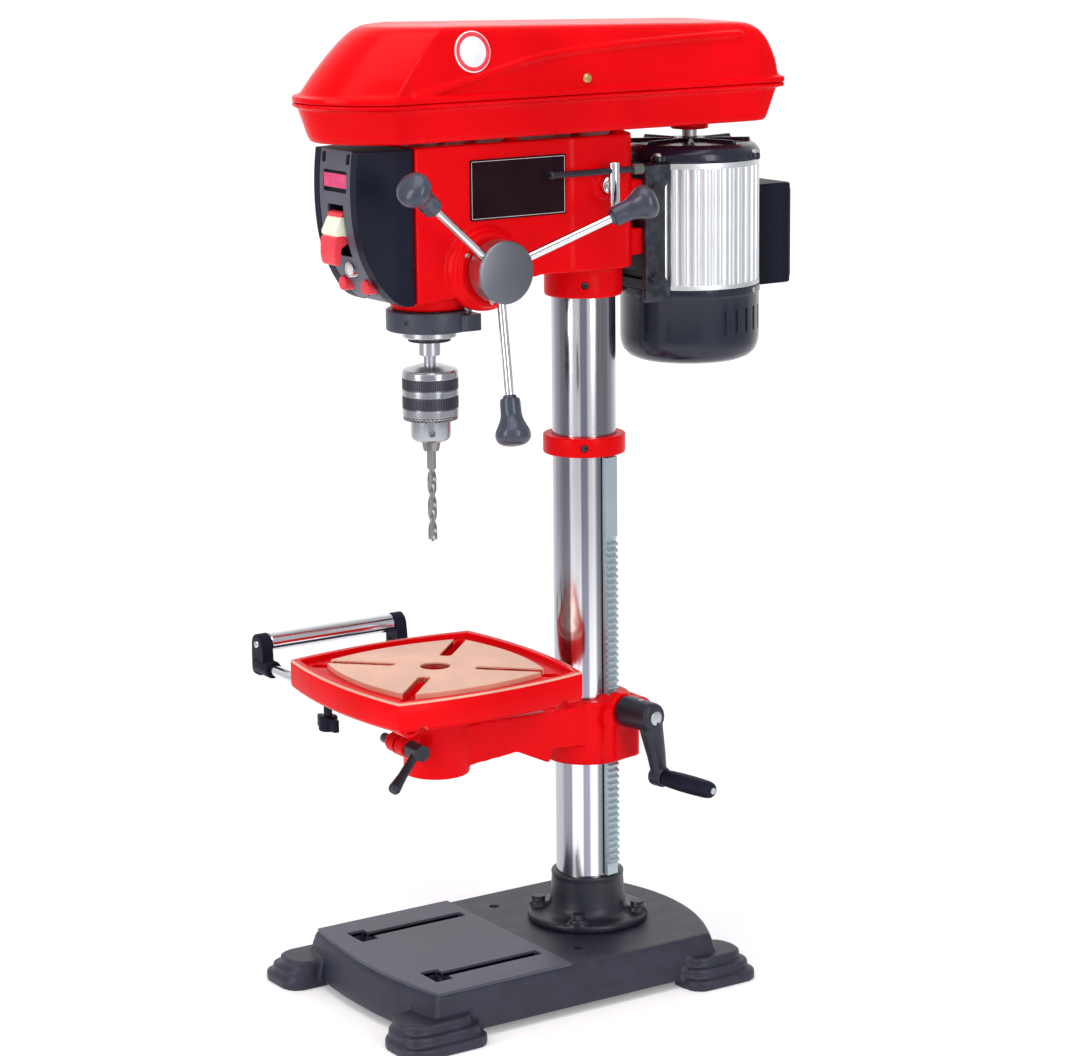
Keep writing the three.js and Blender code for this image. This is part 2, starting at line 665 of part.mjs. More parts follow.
function makeFeedKnob(k) {
  const profile = [[0, -22], [7, -22], [8.5, -20], [8.5, -8], [14, 2], [15.5, 10], [13, 17], [7, 20], [0, 21]];
  const a = new THREE.Vector3(...feedPoint(k, 0));
  const b = new THREE.Vector3(...feedPoint(k, FEED_RADIUS));
  const turn = new THREE.Quaternion().setFromUnitVectors(
    new THREE.Vector3(0, 0, 1), b.clone().sub(a).normalize());
  const knob = turned(profile, 0, 0, 14).applyQuaternion(turn).translate(b.x, b.y, b.z);
  return piece(`feed_knob_${k + 1}`, cut(knob, feedBar(k, 80, FEED_RADIUS - 5.6, 4.3)), GREY);
}

// ---- tension lock -------------------------------------------------------
function makeTensionBolt() {
  const shank = rodX(6, 31, 58, -6, 757, 14);
  const post = turned([[0, 737], [5.5, 737], [5.5, 777], [4.5, 778], [0, 778]], 60, -6, 14);
  const collar = rodX(9, 50.5, 56.5, -6, 757, 14);
  return piece('tension_bolt', cut(join(shank, post, collar), rodY(3.3, -20, 10, 60, 770, 14)), CHROME);
}

function makeTensionBar() {
  return piece('tension_bar', turnedY([
    [0, -76], [4, -76], [4.4, -72], [3, -70], [3, 17], [4.4, 19], [4, 25], [0, 25]], 60, 770, 14), STEEL);
}

// ---- belt cover ---------------------------------------------------------
function coverOutline(half, front, rear, nose) {
  const points = [];
  const steps = 10;
  for (let i = 0; i <= steps; i++) {
    const t = -1 + 2 * i / steps;
    points.push([half * t, front - nose * (1 - Math.abs(t) ** 2.2)]);
  }
  points.push([half, rear - 14], [half - 4, rear - 4], [half - 14, rear]);
  points.push([-half + 14, rear], [-half + 4, rear - 4], [-half, rear - 14]);
  return points;
}

function makePan() {
  const outer = skin([
    { points: coverOutline(62, -233, 172, 46), z: PAN_LOW },
    { points: coverOutline(67, -240, 181, 50), z: HOOD_SPLIT - 5 },
    { points: coverOutline(72, -244, 187, 50), z: HOOD_SPLIT - 4 },
    { points: coverOutline(72, -244, 187, 50), z: HOOD_SPLIT },
  ]);
  const inner = skin([
    { points: coverOutline(59, -230, 169, 46), z: PAN_LOW + 3 },
    { points: coverOutline(64, -237, 178, 50), z: HOOD_SPLIT + 1 },
  ]);
  const boss = rod(18, 797, PAN_LOW + 1, 0, MOTOR_Y, 24);
  const body = join(cut(outer, inner), boss, hingeEar(HOOD_SPLIT - 4, -150, -120), hingeEar(HOOD_SPLIT - 4, 80, 110));
  const holes = [rod(20, 790, 815, 0, SPINDLE_Y, 24), rod(9.5, 790, 815, 0, MOTOR_Y, 20),
    rod(6.3, 790, 815, 0, IDLER_Y, 14), rodY(3.3, -160, 120, HINGE_X, HOOD_SPLIT, 14),
  ];
  return piece('belt_pan', cut(body, ...holes), RED);
}

function hingeEar(z, y0, y1) {
  return join(rodY(6, y0, y1, HINGE_X, HOOD_SPLIT, 12), box(HINGE_X, -66, y0, y1, z, z + 3.7));
}

// The hood top is lower at the rear; the drop fades out at the split line.
function fallToRear(geometry) {
  const place = geometry.attributes.position;
  for (let i = 0; i < place.count; i++) {
    const along = THREE.MathUtils.clamp((place.getY(i) + 184) / 340, 0, 1);
    const height = THREE.MathUtils.clamp((place.getZ(i) - 862) / 40, 0, 1);
    place.setZ(i, place.getZ(i) - HOOD_DROP * along * height);
  }
  return geometry;
}

function makeHood() {
  const z0 = HOOD_SPLIT + GAP;
  const levels = [
    [72, -244, 187, 50, z0], [72, -244, 187, 50, z0 + 5], [67.5, -239, 183, 49, z0 + 6],
    [67, -228, 180, 48, 862], [65, -212, 174, 46, 882], [61, -193, 165, 45, 899],
    [56, -184, 156, 44, 904], [50, -176, 149, 40, HOOD_TOP + 1]];
  const outer = fallToRear(skin(levels.map(([half, front, rear, nose, z]) => ({
    points: coverOutline(half, front, rear, nose), z }))));
  const inner = fallToRear(skin([
    { points: coverOutline(64, -236, 180, 48), z: z0 - 1 },
    { points: coverOutline(64, -225, 177, 46), z: 862 },
    { points: coverOutline(62, -209, 171, 44), z: 881 },
    { points: coverOutline(57, -189, 161, 43), z: 897 },
    { points: coverOutline(50, -180, 151, 41), z: HOOD_TOP - 2 }]));
  const leaf = join(rodY(6, -119.6, 79.6, HINGE_X, HOOD_SPLIT, 12), box(HINGE_X, -64, -119.6, 79.6, HOOD_SPLIT + 1, 847));
  const body = join(cut(outer, inner), leaf);
  const screw = rodX(3.3, 55, 80, -40, 855, 12);
  return piece('belt_hood', cut(body, rodY(3.3, -160, 120, HINGE_X, HOOD_SPLIT, 14), screw), RED);
}

function makeHingePin() {
  return piece('hood_hinge_pin', rodY(3, -149, 109, HINGE_X, HOOD_SPLIT, 14), STEEL);
}

function makeHoodScrew() {
  const profile = [[0, 61.5], [3, 61.5], [3, 67.6], [6.4, 67.6], [6.4, 70.5], [5, 72], [0, 72]];
  return piece('hood_latch_screw', turnedX(profile, -40, 855, 16), BLACK);
}

// ---- drive --------------------------------------------------------------
// Four-step V pulley; steps hold [radius, groove z] and share a groove depth.
function pulleyProfile(radii, z0, pitch) {
  const profile = [[0, z0]];
  radii.forEach((r, i) => {
    const z = z0 + i * pitch;
    profile.push([r, z], [r - 5, z + 3.6], [r - 5, z + pitch - 3.6], [r, z + pitch]);
  });
  profile.push([0, z0 + radii.length * pitch]);
  return profile;
}

function makeSpindlePulley() {
  const steps = turned(pulleyProfile([26, 32, 38, 44], 816, 13), 0, SPINDLE_Y, 16);
  const hub = rod(15, 785, 817, 0, SPINDLE_Y, 20);
  const bore = rod(8.3, 700, 900, 0, SPINDLE_Y, 20);
  return piece('spindle_pulley', cut(join(steps, hub), bore, rod(10, 700, 803, 0, SPINDLE_Y, 20)), ALLOY);
}

function makeMotorPulley() {
  const steps = turned(pulleyProfile([44, 38, 32, 26], 816, 13), 0, MOTOR_Y, 16);
  return piece('motor_pulley', join(steps, rod(7, 790, 870, 0, MOTOR_Y, 20)), ALLOY);
}

function makeIdlerPulley() {
  const steps = turned(pulleyProfile([34, 40, 34, 28], 816, 13), 0, IDLER_Y, 16);
  return piece('idler_pulley', cut(steps, rod(6.3, 700, 900, 0, IDLER_Y, 14)), ALLOY);
}

function makeIdlerPost() {
  return piece('idler_post', turned([
    [0, 785], [6, 785], [6, 815.6], [6, 870], [4, 872], [0, 872]], 0, IDLER_Y, 14), STEEL);
}

// Belt loop: the front half turn, then the rear half turn.
function beltLoop(y0, r0, y1, r1) {
  const points = [];
  for (let i = 0; i <= 12; i++) {
    const a = -Math.PI + Math.PI * i / 12;
    points.push([r0 * Math.cos(a), y0 + r0 * Math.sin(a)]);
  }
  for (let i = 0; i <= 12; i++) {
    const a = Math.PI * i / 12;
    points.push([r1 * Math.cos(a), y1 + r1 * Math.sin(a)]);
  }
  return points;
}

function makeBelt(name, y0, r0, y1, r1, z) {
  const outer = plate(beltLoop(y0, r0 + 6, y1, r1 + 6), z - 2.3, z + 2.3);
  const inner = plate(beltLoop(y0, r0, y1, r1), z - 5, z + 5);
  return piece(name, cut(outer, inner), RUBBER);
}

// ---- motor --------------------------------------------------------------
function makeMotorShell() {
  const outline = [];
  const fins = 26;
  for (let i = 0; i < fins; i++) {
    for (const [f, r] of [[0, 63], [0.3, 66], [0.62, 66], [0.92, 63]]) {
      const a = (i + f) / fins * Math.PI * 2;
      outline.push([r * Math.cos(a), MOTOR_Y + r * Math.sin(a)]);
    }
  }
  const flat = box(-45, 45, 40, 60.5, 640, 780);
  return piece('motor_shell', cut(plate(outline, 652, 770), flat), ALLOY);
}

function makeMotorCan() {
  const can = turned([
    [0, 580], [40, 580], [56, 583], [64, 590], [66, 600], [66, 646], [67, 647], [67, 651.7], [0, 651.7]],
    0, MOTOR_Y, 24);
  return piece('motor_end_can', cut(can, box(-80, 80, 40, 55.5, 570, 660)), BLACK);
}

function makeMotorBell() {
  const dome = turned([
    [0, 770.3], [66.5, 770.3], [66.5, 777], [62, 783], [50, 787], [20, 789], [0, 789]], 0, MOTOR_Y, 24);
  const lugs = [0.5, 2.1, 3.66, 5.2].map((a) => rod(6.5, 770.3, 777,
    66 * Math.cos(a), MOTOR_Y + 66 * Math.sin(a), 14));
  const body = cut(join(dome, ...lugs), rod(8, 760, 800, 0, MOTOR_Y, 20));
  return piece('motor_end_bell', cut(body, box(-90, 90, 40, 55.5, 760, 800)), BLACK);
}

function makeCapacitor() {
  const body = plate(roundedRect(-25, 25, 187.8, 225, 5), 646, 742);
  const saddle = rod(67.6, 640, 750, 0, MOTOR_Y, 24);
  return piece('capacitor_box', cut(body, saddle), PLASTIC);
}

function makeMotorBracket() {
  const back = box(-40, 40, 54, 60, 652.4, 769.6);
  const cheeks = [-1, 1].map((s) => box(s > 0 ? 36 : -42, s > 0 ? 42 : -36, 42, 73, 643, 770));
  const mountPads = box(-35.5, 35.5, 44.4, 56, 690, 755);
  const slots = [665, 748].map((z) => rodX(3.5, -60, 60, 50, z, 12));
  const motorClear = rod(67.4, 600, 800, 0, MOTOR_Y, 24);
  const keepBack = box(-46, 46, 40, 60.2, 640, 772);
  const plates = join(back, ...cheeks, mountPads);
  const clearance = cut(motorClear, keepBack);
  return piece('motor_bracket', cut(plates, clearance, ...slots), BLACK);
}

function makeDataPlate() {
  return piece('data_plate', box(45.3, 46.3, -151, -49, 733, 787), BLACK);
}

// ---- assembly -----------------------------------------------------------
function buildPress() {
  const press = new THREE.Group();
  press.name = 'bench_drill_press';
  press.add(makeBase(), makeHolder(), makeColumn(), makeRack(), makeCollar());
  press.add(makeBracket(), makeTableLock(), makeColumnLock(), makeCrank(), makeCrankGrip());
  press.add(makeTable(), makeRoller());
  press.add(makeRollerRod('roller_rod_front', -1), makeRollerRod('roller_rod_rear', 1));
  press.add(makeRollerEnd('roller_end_front', -1), makeRollerEnd('roller_end_rear', 1));
  press.add(makeRollerKnob('roller_lock_front', -1), makeRollerKnob('roller_lock_rear', 1));
  press.add(makeHead(), makeDataPlate(), makeSwitchBox(), makeDisplay(), makePaddle());
  press.add(makeButton('light_button', 4, 694, 6.9, -253, PALE));
  press.add(makeButton('start_button', -19, 679, 6.5, -247, SIGNAL));
  press.add(makeButton('stop_button', 20, 679, 6.5, -247, SIGNAL));
  press.add(makeQuill(), makeDepthCollar(), makeDepthRod(), makeSpindle());
  press.add(makeChuckBody(), makeChuckSleeve(), makeChuckJaws(), makeDrill());
  press.add(makeFeedHub(), makeFeedArm(0), makeFeedArm(1), makeFeedArm(2));
  press.add(makeFeedKnob(0), makeFeedKnob(1), makeFeedKnob(2));
  press.add(makeTensionBolt(), makeTensionBar());
  press.add(makePan(), makeHood(), makeHingePin(), makeHoodScrew());
  press.add(makeSpindlePulley(), makeIdlerPulley(), makeIdlerPost(), makeMotorPulley());
  press.add(makeBelt('front_belt', SPINDLE_Y, 27.4, IDLER_Y, 35.4, 835.5));
  press.add(makeBelt('rear_belt', IDLER_Y, 29.4, MOTOR_Y, 27.4, 848.5));
  press.add(makeMotorBracket(), makeMotorShell(), makeMotorCan(), makeMotorBell(), makeCapacitor());
  for (const part of press.children) part.geometry.translate(COLUMN_X, COLUMN_Y, 0);
  return press;
}

export default buildPress();
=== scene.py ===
# %% [markdown]
# # A bench drill press, one piece at a time
# The machine arrives as a rough metal skeleton whose joints already work. This lesson dresses it: each
# rough solid gets a finely made piece in the same place, and each piece gets a finish mixed from nodes.
# The first cell loads the skeleton, so every later cell can ask it where things are.

# %% Load the skeleton
import math

import bmesh
import bpy
from mathutils import Matrix, Vector


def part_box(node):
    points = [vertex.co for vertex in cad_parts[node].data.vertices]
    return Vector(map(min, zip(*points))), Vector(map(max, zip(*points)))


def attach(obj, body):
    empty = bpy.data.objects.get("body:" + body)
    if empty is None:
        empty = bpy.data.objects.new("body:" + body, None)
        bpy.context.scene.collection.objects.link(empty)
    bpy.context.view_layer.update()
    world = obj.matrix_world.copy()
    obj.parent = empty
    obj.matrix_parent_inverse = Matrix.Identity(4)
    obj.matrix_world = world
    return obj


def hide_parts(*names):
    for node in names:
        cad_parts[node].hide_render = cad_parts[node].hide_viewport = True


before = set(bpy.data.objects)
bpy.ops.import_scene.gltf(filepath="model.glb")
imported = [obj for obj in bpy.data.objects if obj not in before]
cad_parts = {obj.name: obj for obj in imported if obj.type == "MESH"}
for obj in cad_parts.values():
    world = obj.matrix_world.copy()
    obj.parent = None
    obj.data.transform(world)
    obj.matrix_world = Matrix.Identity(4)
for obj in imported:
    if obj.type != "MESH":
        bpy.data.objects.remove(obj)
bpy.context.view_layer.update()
MM = 0.001
tube_low, tube_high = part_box("column_tube")
COLUMN = Vector(((tube_low.x + tube_high.x) / 2, (tube_low.y + tube_high.y) / 2, 0)) / MM

# %% [markdown]
# ## The view
# A long lens from the operator's right, a little above the table, shows the machine almost without
# perspective. The camera could be aimed with a constraint, but a matrix built from right, up and back
# vectors keeps a small roll exactly, so that is used here.

# %% Camera
def aim(position, azimuth, tilt, roll):
    a, t, r = (math.radians(v) for v in (azimuth, tilt, roll))
    ahead = Vector((-math.sin(a) * math.cos(t), math.cos(a) * math.cos(t), -math.sin(t)))
    right = Vector((math.cos(a), math.sin(a), 0))
    up = right.cross(ahead)
    across = right * math.cos(r) + up * math.sin(r)
    above = up * math.cos(r) - right * math.sin(r)
    turn = Matrix((across, above, -ahead)).transposed().to_4x4()
    return Matrix.Translation(position) @ turn


eye = bpy.data.objects.new("view_camera", bpy.data.cameras.new("view_camera"))
bpy.context.scene.collection.objects.link(eye)
eye.data.lens = 107.39
eye.data.sensor_width = 36
eye.data.clip_end = 200
eye.matrix_world = aim(Vector((2.4884, -1.6339, 1.0627)), 56.685, 12.04, -0.591)
bpy.context.scene.camera = eye
bpy.context.scene.view_settings.view_transform = "Standard"
print("camera is", round((eye.location - Vector((0, 0, 0.45))).length, 2), "m from the middle")

# %% [markdown]
# ## Node expressions
# A shader is a sum of small calculations. Wiring each Math node by hand hides the idea, so this class
# wraps one output socket and lets Python's own operators add the nodes: `mask * 0.4 + gloss` adds two.

# %% A socket that can do sums
class Wire:
    def __init__(self, bench, socket):
        self.bench = bench
        self.socket = socket

    def sum(self, operation, first, second=0.0):
        return self.bench.node("ShaderNodeMath", {"operation": operation}, {0: first, 1: second})

    def __add__(self, other):
        return self.sum("ADD", self, other)

    def __sub__(self, other):
        return self.sum("SUBTRACT", self, other)

    def __rsub__(self, other):
        return self.sum("SUBTRACT", other, self)

    def __mul__(self, other):
        return self.sum("MULTIPLY", self, other)

    def __gt__(self, other):
        return self.sum("GREATER_THAN", self, other)


# %% [markdown]
# ## A bench to mix a finish on
# Each finish is a material with one Principled shader. The bench adds any node with one method: the
# settings go in first, then the sockets get their values or links. Patterns read Object coordinates, so a
# scratch or a cast grain has the same size on every piece.

# %% The finish bench
class Bench:
    def __init__(self, name, colour, metallic=0.0, roughness=0.5, **fixed):
        self.material = bpy.data.materials.new(name)
        self.material.use_nodes = True
        self.tree = self.material.node_tree
        self.tree.nodes.clear()
        self.shader = self.tree.nodes.new("ShaderNodeBsdfPrincipled")
        end = self.tree.nodes.new("ShaderNodeOutputMaterial")
        self.tree.links.new(self.shader.outputs[0], end.inputs[0])
        self.shader.inputs["Base Color"].default_value = (*colour, 1)
        self.shader.inputs["Metallic"].default_value = metallic
        self.shader.inputs["Roughness"].default_value = roughness
        for socket, value in fixed.items():
            self.shader.inputs[socket.replace("_", " ")].default_value = value
        self.place = self.node("ShaderNodeTexCoord", {}, {}, "Object")

    def node(self, kind, settings, sockets, out=0):
        made = self.tree.nodes.new(kind)
        for key, value in settings.items():
            if key == "stops":
                self.set_stops(made.color_ramp, value)
            else:
                setattr(made, key, value)
        for key, value in sockets.items():
            if isinstance(value, Wire):
                self.tree.links.new(value.socket, made.inputs[key])
            else:
                made.inputs[key].default_value = value
        return Wire(self, made.outputs[out])

    def set_stops(self, ramp, stops):
        while len(ramp.elements) < len(stops):
            ramp.elements.new(0.5)
        for element, (where, shade) in zip(ramp.elements, stops):
            element.position = where
            element.color = (*shade, 1) if isinstance(shade, tuple) else (shade, shade, shade, 1)

    def feed(self, socket, wire):
        self.tree.links.new(wire.socket, self.shader.inputs[socket])

    def noise(self, scale, detail=3.0, rough=0.5, stretch=None):
        where = self.place if stretch is None else self.stretched(stretch)
        return self.node("ShaderNodeTexNoise", {}, {"Vector": where, "Scale": scale, "Detail": detail,
                                                    "Roughness": rough})

    def stretched(self, factors):
        return self.node("ShaderNodeMapping", {}, {"Vector": self.place, "Scale": factors})

    def ramp(self, wire, stops):
        return self.node("ShaderNodeValToRGB", {"stops": stops}, {0: wire})

    def blend(self, mask, low, high):
        low = (*low, 1) if isinstance(low, tuple) else low
        high = (*high, 1) if isinstance(high, tuple) else high
        return self.node("ShaderNodeMix", {"data_type": "RGBA"}, {0: mask, 6: low, 7: high}, 2)

    def edges(self, low=0.52, high=0.6):
        """Bright on sharp outer edges: a painted highlight, and on iron and plastic also where handling
        rubs a finish away.
        """
        sharp = self.node("ShaderNodeNewGeometry", {}, {}, "Pointiness")
        return self.ramp(sharp, [(low, 0.0), (high, 1.0)])

    # Painted shade: a mask that is 1 in hollows and inner corners, where less light reaches.
    def painted_hollow_shade(self):
        sharp = self.node("ShaderNodeNewGeometry", {}, {}, "Pointiness")
        return self.ramp(sharp, [(0.42, 1.0), (0.49, 0.0)])

    def bump(self, wire, strength, depth=0.001):
        raised = self.node("ShaderNodeBump", {}, {"Height": wire, "Strength": strength, "Distance": depth},
                           "Normal")
        self.feed("Normal", raised)


# %% [markdown]
# ## Red enamel
# The castings and covers wear a thick glossy enamel. Real enamel is never one colour: its tint drifts a
# little and it has a faint orange-peel skin. A noise makes the peel and a slow noise the tint, and the
# surface's own pointiness paints shade into the hollows and a paler painted highlight along sharp edges.

# %% Mix the enamels
def enamel(name, deep, bright, peel, cast, gloss):
    bench = Bench(name, bright, 0.0, gloss, Coat_Roughness=0.12, Specular_IOR_Level=0.06)
    drift = bench.noise(9.0, 2.0)
    tint = bench.blend(bench.ramp(drift, [(0.35, 0.0), (0.65, 1.0)]), deep, bright)
    # Painted shade: the enamel is painted darker in hollows and inner corners.
    tint = bench.blend(bench.painted_hollow_shade() * 0.55, tint, tuple(v * 0.45 for v in deep))
    # Painted highlight: a paler red along sharp edges, broken up by a fine noise.
    edge_highlight = bench.edges(0.56, 0.72) * bench.ramp(bench.noise(160.0, 4.0), [(0.45, 0.0), (0.62, 1.0)])
    edge_highlight_red = tuple(min(1.0, v * 1.08 + 0.03) for v in bright)
    bench.feed("Base Color", bench.blend(edge_highlight * 0.4, tint, edge_highlight_red))
    smears = bench.ramp(bench.noise(26.0, 5.0, 0.65), [(0.4, 0.0), (0.75, 1.0)])
    bench.feed("Roughness", smears * 0.09 + (gloss - 0.02))
    bench.feed("Coat Weight", 0.045 - smears * 0.02)
    bench.bump(bench.noise(420.0, 1.0) * peel + bench.noise(95.0, 4.0, 0.6) * cast, 0.22, 0.0006)
    return bench.material


RED_DEEP = (0.67, 0.0008, 0.003)
RED_BRIGHT = (0.82, 0.0010, 0.005)
red_cover = enamel("red_cover_enamel", RED_DEEP, RED_BRIGHT, 0.6, 0.15, 0.24)
red_casting = enamel("red_casting_enamel", RED_DEEP, RED_BRIGHT, 0.4, 1.0, 0.34)
print("enamels", red_cover.name, red_casting.name)

# %% [markdown]
# ## Dark iron paint
# The base is cast iron under a satin blue-grey paint that follows the sandy skin of the casting. Two noises
# of different size make that skin, and the paint is darker in its hollows. The ground work face is the same
# iron with the paint thinner and the cutter's faint straight marks left in it.

# %% Mix the iron finishes
def iron_paint(name, tone, grain, gloss):
    bench = Bench(name, tone, 0.15, gloss)
    sand = bench.noise(520.0, 3.0, 0.6)
    lumps = bench.noise(60.0, 4.0, 0.55)
    dark = tuple(v * 0.62 for v in tone)
    tint = bench.blend(bench.ramp(lumps, [(0.3, 0.0), (0.7, 1.0)]), dark, tone)
    # Sharp edges lighter: partly paint rubbed away, partly a painted highlight.
    edge_wear_and_highlight = bench.edges(0.53, 0.64) * bench.ramp(bench.noise(120.0, 4.0), [(0.4, 0.0), (0.6, 1.0)])
    tint = bench.blend(edge_wear_and_highlight * 0.6, tint, (0.22, 0.24, 0.27))
    chips = bench.noise(38.0, 6.0, 0.7) > 0.735
    bench.feed("Base Color", bench.blend(chips * 0.7, tint, (0.30, 0.31, 0.33)))
    bench.feed("Roughness", lumps * 0.2 + (gloss - 0.1))
    bench.bump(sand * grain + lumps * 0.8, 0.35, 0.0007)
    return bench.material


def ground_iron(name, tone):
    bench = Bench(name, tone, 0.2, 0.42, Specular_IOR_Level=0.3)
    lines = bench.noise(900.0, 2.0, 0.5, stretch=(1.0, 0.02, 1.0))
    blotch = bench.noise(14.0, 4.0, 0.6)
    dark = tuple(v * 0.72 for v in tone)
    tint = bench.blend(bench.ramp(blotch, [(0.3, 0.0), (0.7, 1.0)]), dark, tone)
    pits = bench.noise(70.0, 5.0, 0.75) > 0.74
    bench.feed("Base Color", bench.blend(pits * 0.8, tint, tuple(v * 0.2 for v in tone)))
    bench.feed("Roughness", lines * 0.16 + blotch * 0.12 + 0.26)
    bench.bump(lines * 0.6 - pits * 1.0, 0.18, 0.0004)
    return bench.material


base_paint = iron_paint("base_iron_paint", (0.020, 0.022, 0.042), 0.9, 0.46)
base_ground = ground_iron("base_ground_face", (0.080, 0.084, 0.118))
table_ground = ground_iron("table_ground_pad", (0.88, 0.50, 0.36))
black_iron = iron_paint("black_iron_paint", (0.016, 0.018, 0.031), 0.7, 0.38)
print("iron finishes", base_paint.name, base_ground.name, table_ground.name, black_iron.name)

# %% [markdown]
# ## Bare metals
# The column is drawn and polished steel, the chuck is turned, the motor shell is bright cast aluminium.
# They differ in the direction of their marks: long on the column, rings on turned pieces. Stretching a
# noise makes lines for one direction, and a fine even noise stands for polished skin.

# %% Mix the metals
def bright_metal(name, tone, gloss, stretch, marks, stain=0.25):
    bench = Bench(name, tone, 1.0, gloss)
    lines = bench.noise(700.0, 3.0, 0.6, stretch=stretch)
    film = bench.noise(18.0, 4.0, 0.6)
    dull = tuple(v * 0.78 for v in tone)
    bench.feed("Base Color", bench.blend(bench.ramp(film, [(0.35, 0.0), (0.8, 1.0)]) * stain * 2.0, tone,
                                         dull))
    bench.feed("Roughness", lines * marks + film * 0.08 + gloss)
    bench.bump(lines, 0.10, 0.0003)
    return bench.material


def polished_column():
    """Painted reflections: light and dark bands, as of the studio mirrored in the polish, run up the drawn
    tube, so the tone follows the angle round its axis.
    """
    bench = Bench("column_polished_steel", (0.8, 0.8, 0.82), 1.0, 0.12)
    centred = bench.node("ShaderNodeMapping", {},
                         {"Vector": bench.place, "Location": tuple(-v * MM for v in COLUMN)})
    angle = bench.node("ShaderNodeTexGradient", {"gradient_type": "RADIAL"}, {"Vector": centred}, 1)
    fine = bench.noise(260.0, 3.0, 0.6, stretch=(1.0, 1.0, 0.006))
    slow = bench.noise(30.0, 3.0, 0.6, stretch=(1.0, 1.0, 0.12))
    warped = angle + (slow - 0.5) * 0.008
    light, mid, dark = (0.94, 0.94, 0.97), (0.47, 0.46, 0.50), (0.21, 0.205, 0.24)
    # Painted reflection: the colour bands stand for lights and dark walls mirrored in the column.
    painted_reflection_bands = [(0.0, dark), (0.06, light), (0.11, mid), (0.16, mid), (0.262, mid), (0.285, dark),
             (0.325, dark), (0.334, light), (0.384, light), (0.391, (0.26, 0.27, 0.36)),
             (0.419, (0.29, 0.30, 0.38)), (0.427, light), (0.455, light), (0.468, dark),
             (0.525, (0.24, 0.23, 0.26)), (0.56, mid), (0.64, mid), (0.70, light), (0.76, light),
             (0.80, dark), (0.86, mid), (0.93, light), (0.98, dark)]
    tone = bench.ramp(warped, painted_reflection_bands)
    bench.feed("Base Color", bench.blend(bench.ramp(fine, [(0.3, 0.0), (0.75, 0.3)]), tone,
                                         (0.5, 0.5, 0.53)))
    bench.feed("Roughness", fine * 0.16 + 0.08)
    bench.bump(fine, 0.06, 0.0002)
    return bench.material


column_steel = polished_column()
turned_steel = bright_metal("turned_steel", (0.56, 0.57, 0.60), 0.20, (0.05, 0.05, 1.0), 0.16)
rack_steel = bright_metal("rack_milled_steel", (0.50, 0.60, 0.64), 0.30, (1.0, 1.0, 0.3), 0.18)
chrome = bright_metal("bright_chrome", (0.78, 0.79, 0.81), 0.05, (1.0, 1.0, 0.2), 0.05)
chuck_steel = bright_metal("chuck_steel", (0.46, 0.47, 0.50), 0.16, (0.05, 0.05, 1.0), 0.12)
hub_steel = bright_metal("feed_hub_steel", (0.19, 0.20, 0.225), 0.26, (0.05, 0.05, 1.0), 0.14)
drill_steel = bright_metal("drill_ground_steel", (0.27, 0.27, 0.265), 0.24, (0.3, 0.3, 1.0), 0.16)
knurl_steel = bright_metal("knurled_dark_steel", (0.10, 0.10, 0.125), 0.34, (1.0, 1.0, 1.0), 0.2)
brass = bright_metal("brass_screws", (0.62, 0.42, 0.16), 0.3, (1.0, 1.0, 1.0), 0.15)
shell_alloy = bright_metal("motor_shell_alloy", (0.80, 0.82, 0.84), 0.30, (1.0, 1.0, 0.05), 0.14)
pulley_alloy = bright_metal("pulley_cast_alloy", (0.62, 0.63, 0.64), 0.34, (0.06, 0.06, 1.0), 0.2)
zinc = bright_metal("zinc_plated_screws", (0.60, 0.61, 0.60), 0.28, (1.0, 1.0, 1.0), 0.15)
print("metals", [m.name for m in (column_steel, turned_steel, rack_steel, chrome, shell_alloy)])

# %% [markdown]
# ## Plastics and rubber
# Moulded plastic takes its texture from the mould: a fine leathery grain on the switch housing, almost none
# on a knob. Grain is a Voronoi cell pattern, which looks like etched mould texture, mixed with noise, and
# fingers polish it here and there, so roughness drifts.

# %% Mix the plastics
def moulded(name, tone, gloss, grain, scale=650.0, wear_and_highlight_amount=0.45, **fixed):
    bench = Bench(name, tone, 0.0, gloss, **{"Specular_IOR_Level": 0.35, **fixed})
    cells = bench.node("ShaderNodeTexVoronoi", {}, {"Vector": bench.place, "Scale": scale}, "Distance")
    touch = bench.noise(22.0, 4.0, 0.6)
    light = tuple(min(1.0, v * 1.3 + 0.002) for v in tone)
    tint = bench.blend(bench.ramp(touch, [(0.35, 0.0), (0.7, 1.0)]), tone, light)
    # Sharp edges lighter: partly wear from handling, partly a painted highlight.
    edge_wear_and_highlight = bench.edges(0.54, 0.66) * bench.ramp(bench.noise(140.0, 3.0), [(0.42, 0.0), (0.6, 1.0)])
    bench.feed("Base Color", bench.blend(edge_wear_and_highlight * wear_and_highlight_amount, tint, tuple(min(1.0, v * 1.6 + 0.05) for v in tone)))
    bench.feed("Roughness", touch * 0.18 + cells * 0.05 + (gloss - 0.1))
    bench.bump(cells * grain + touch * 0.2, 0.22, 0.0004)
    return bench.material


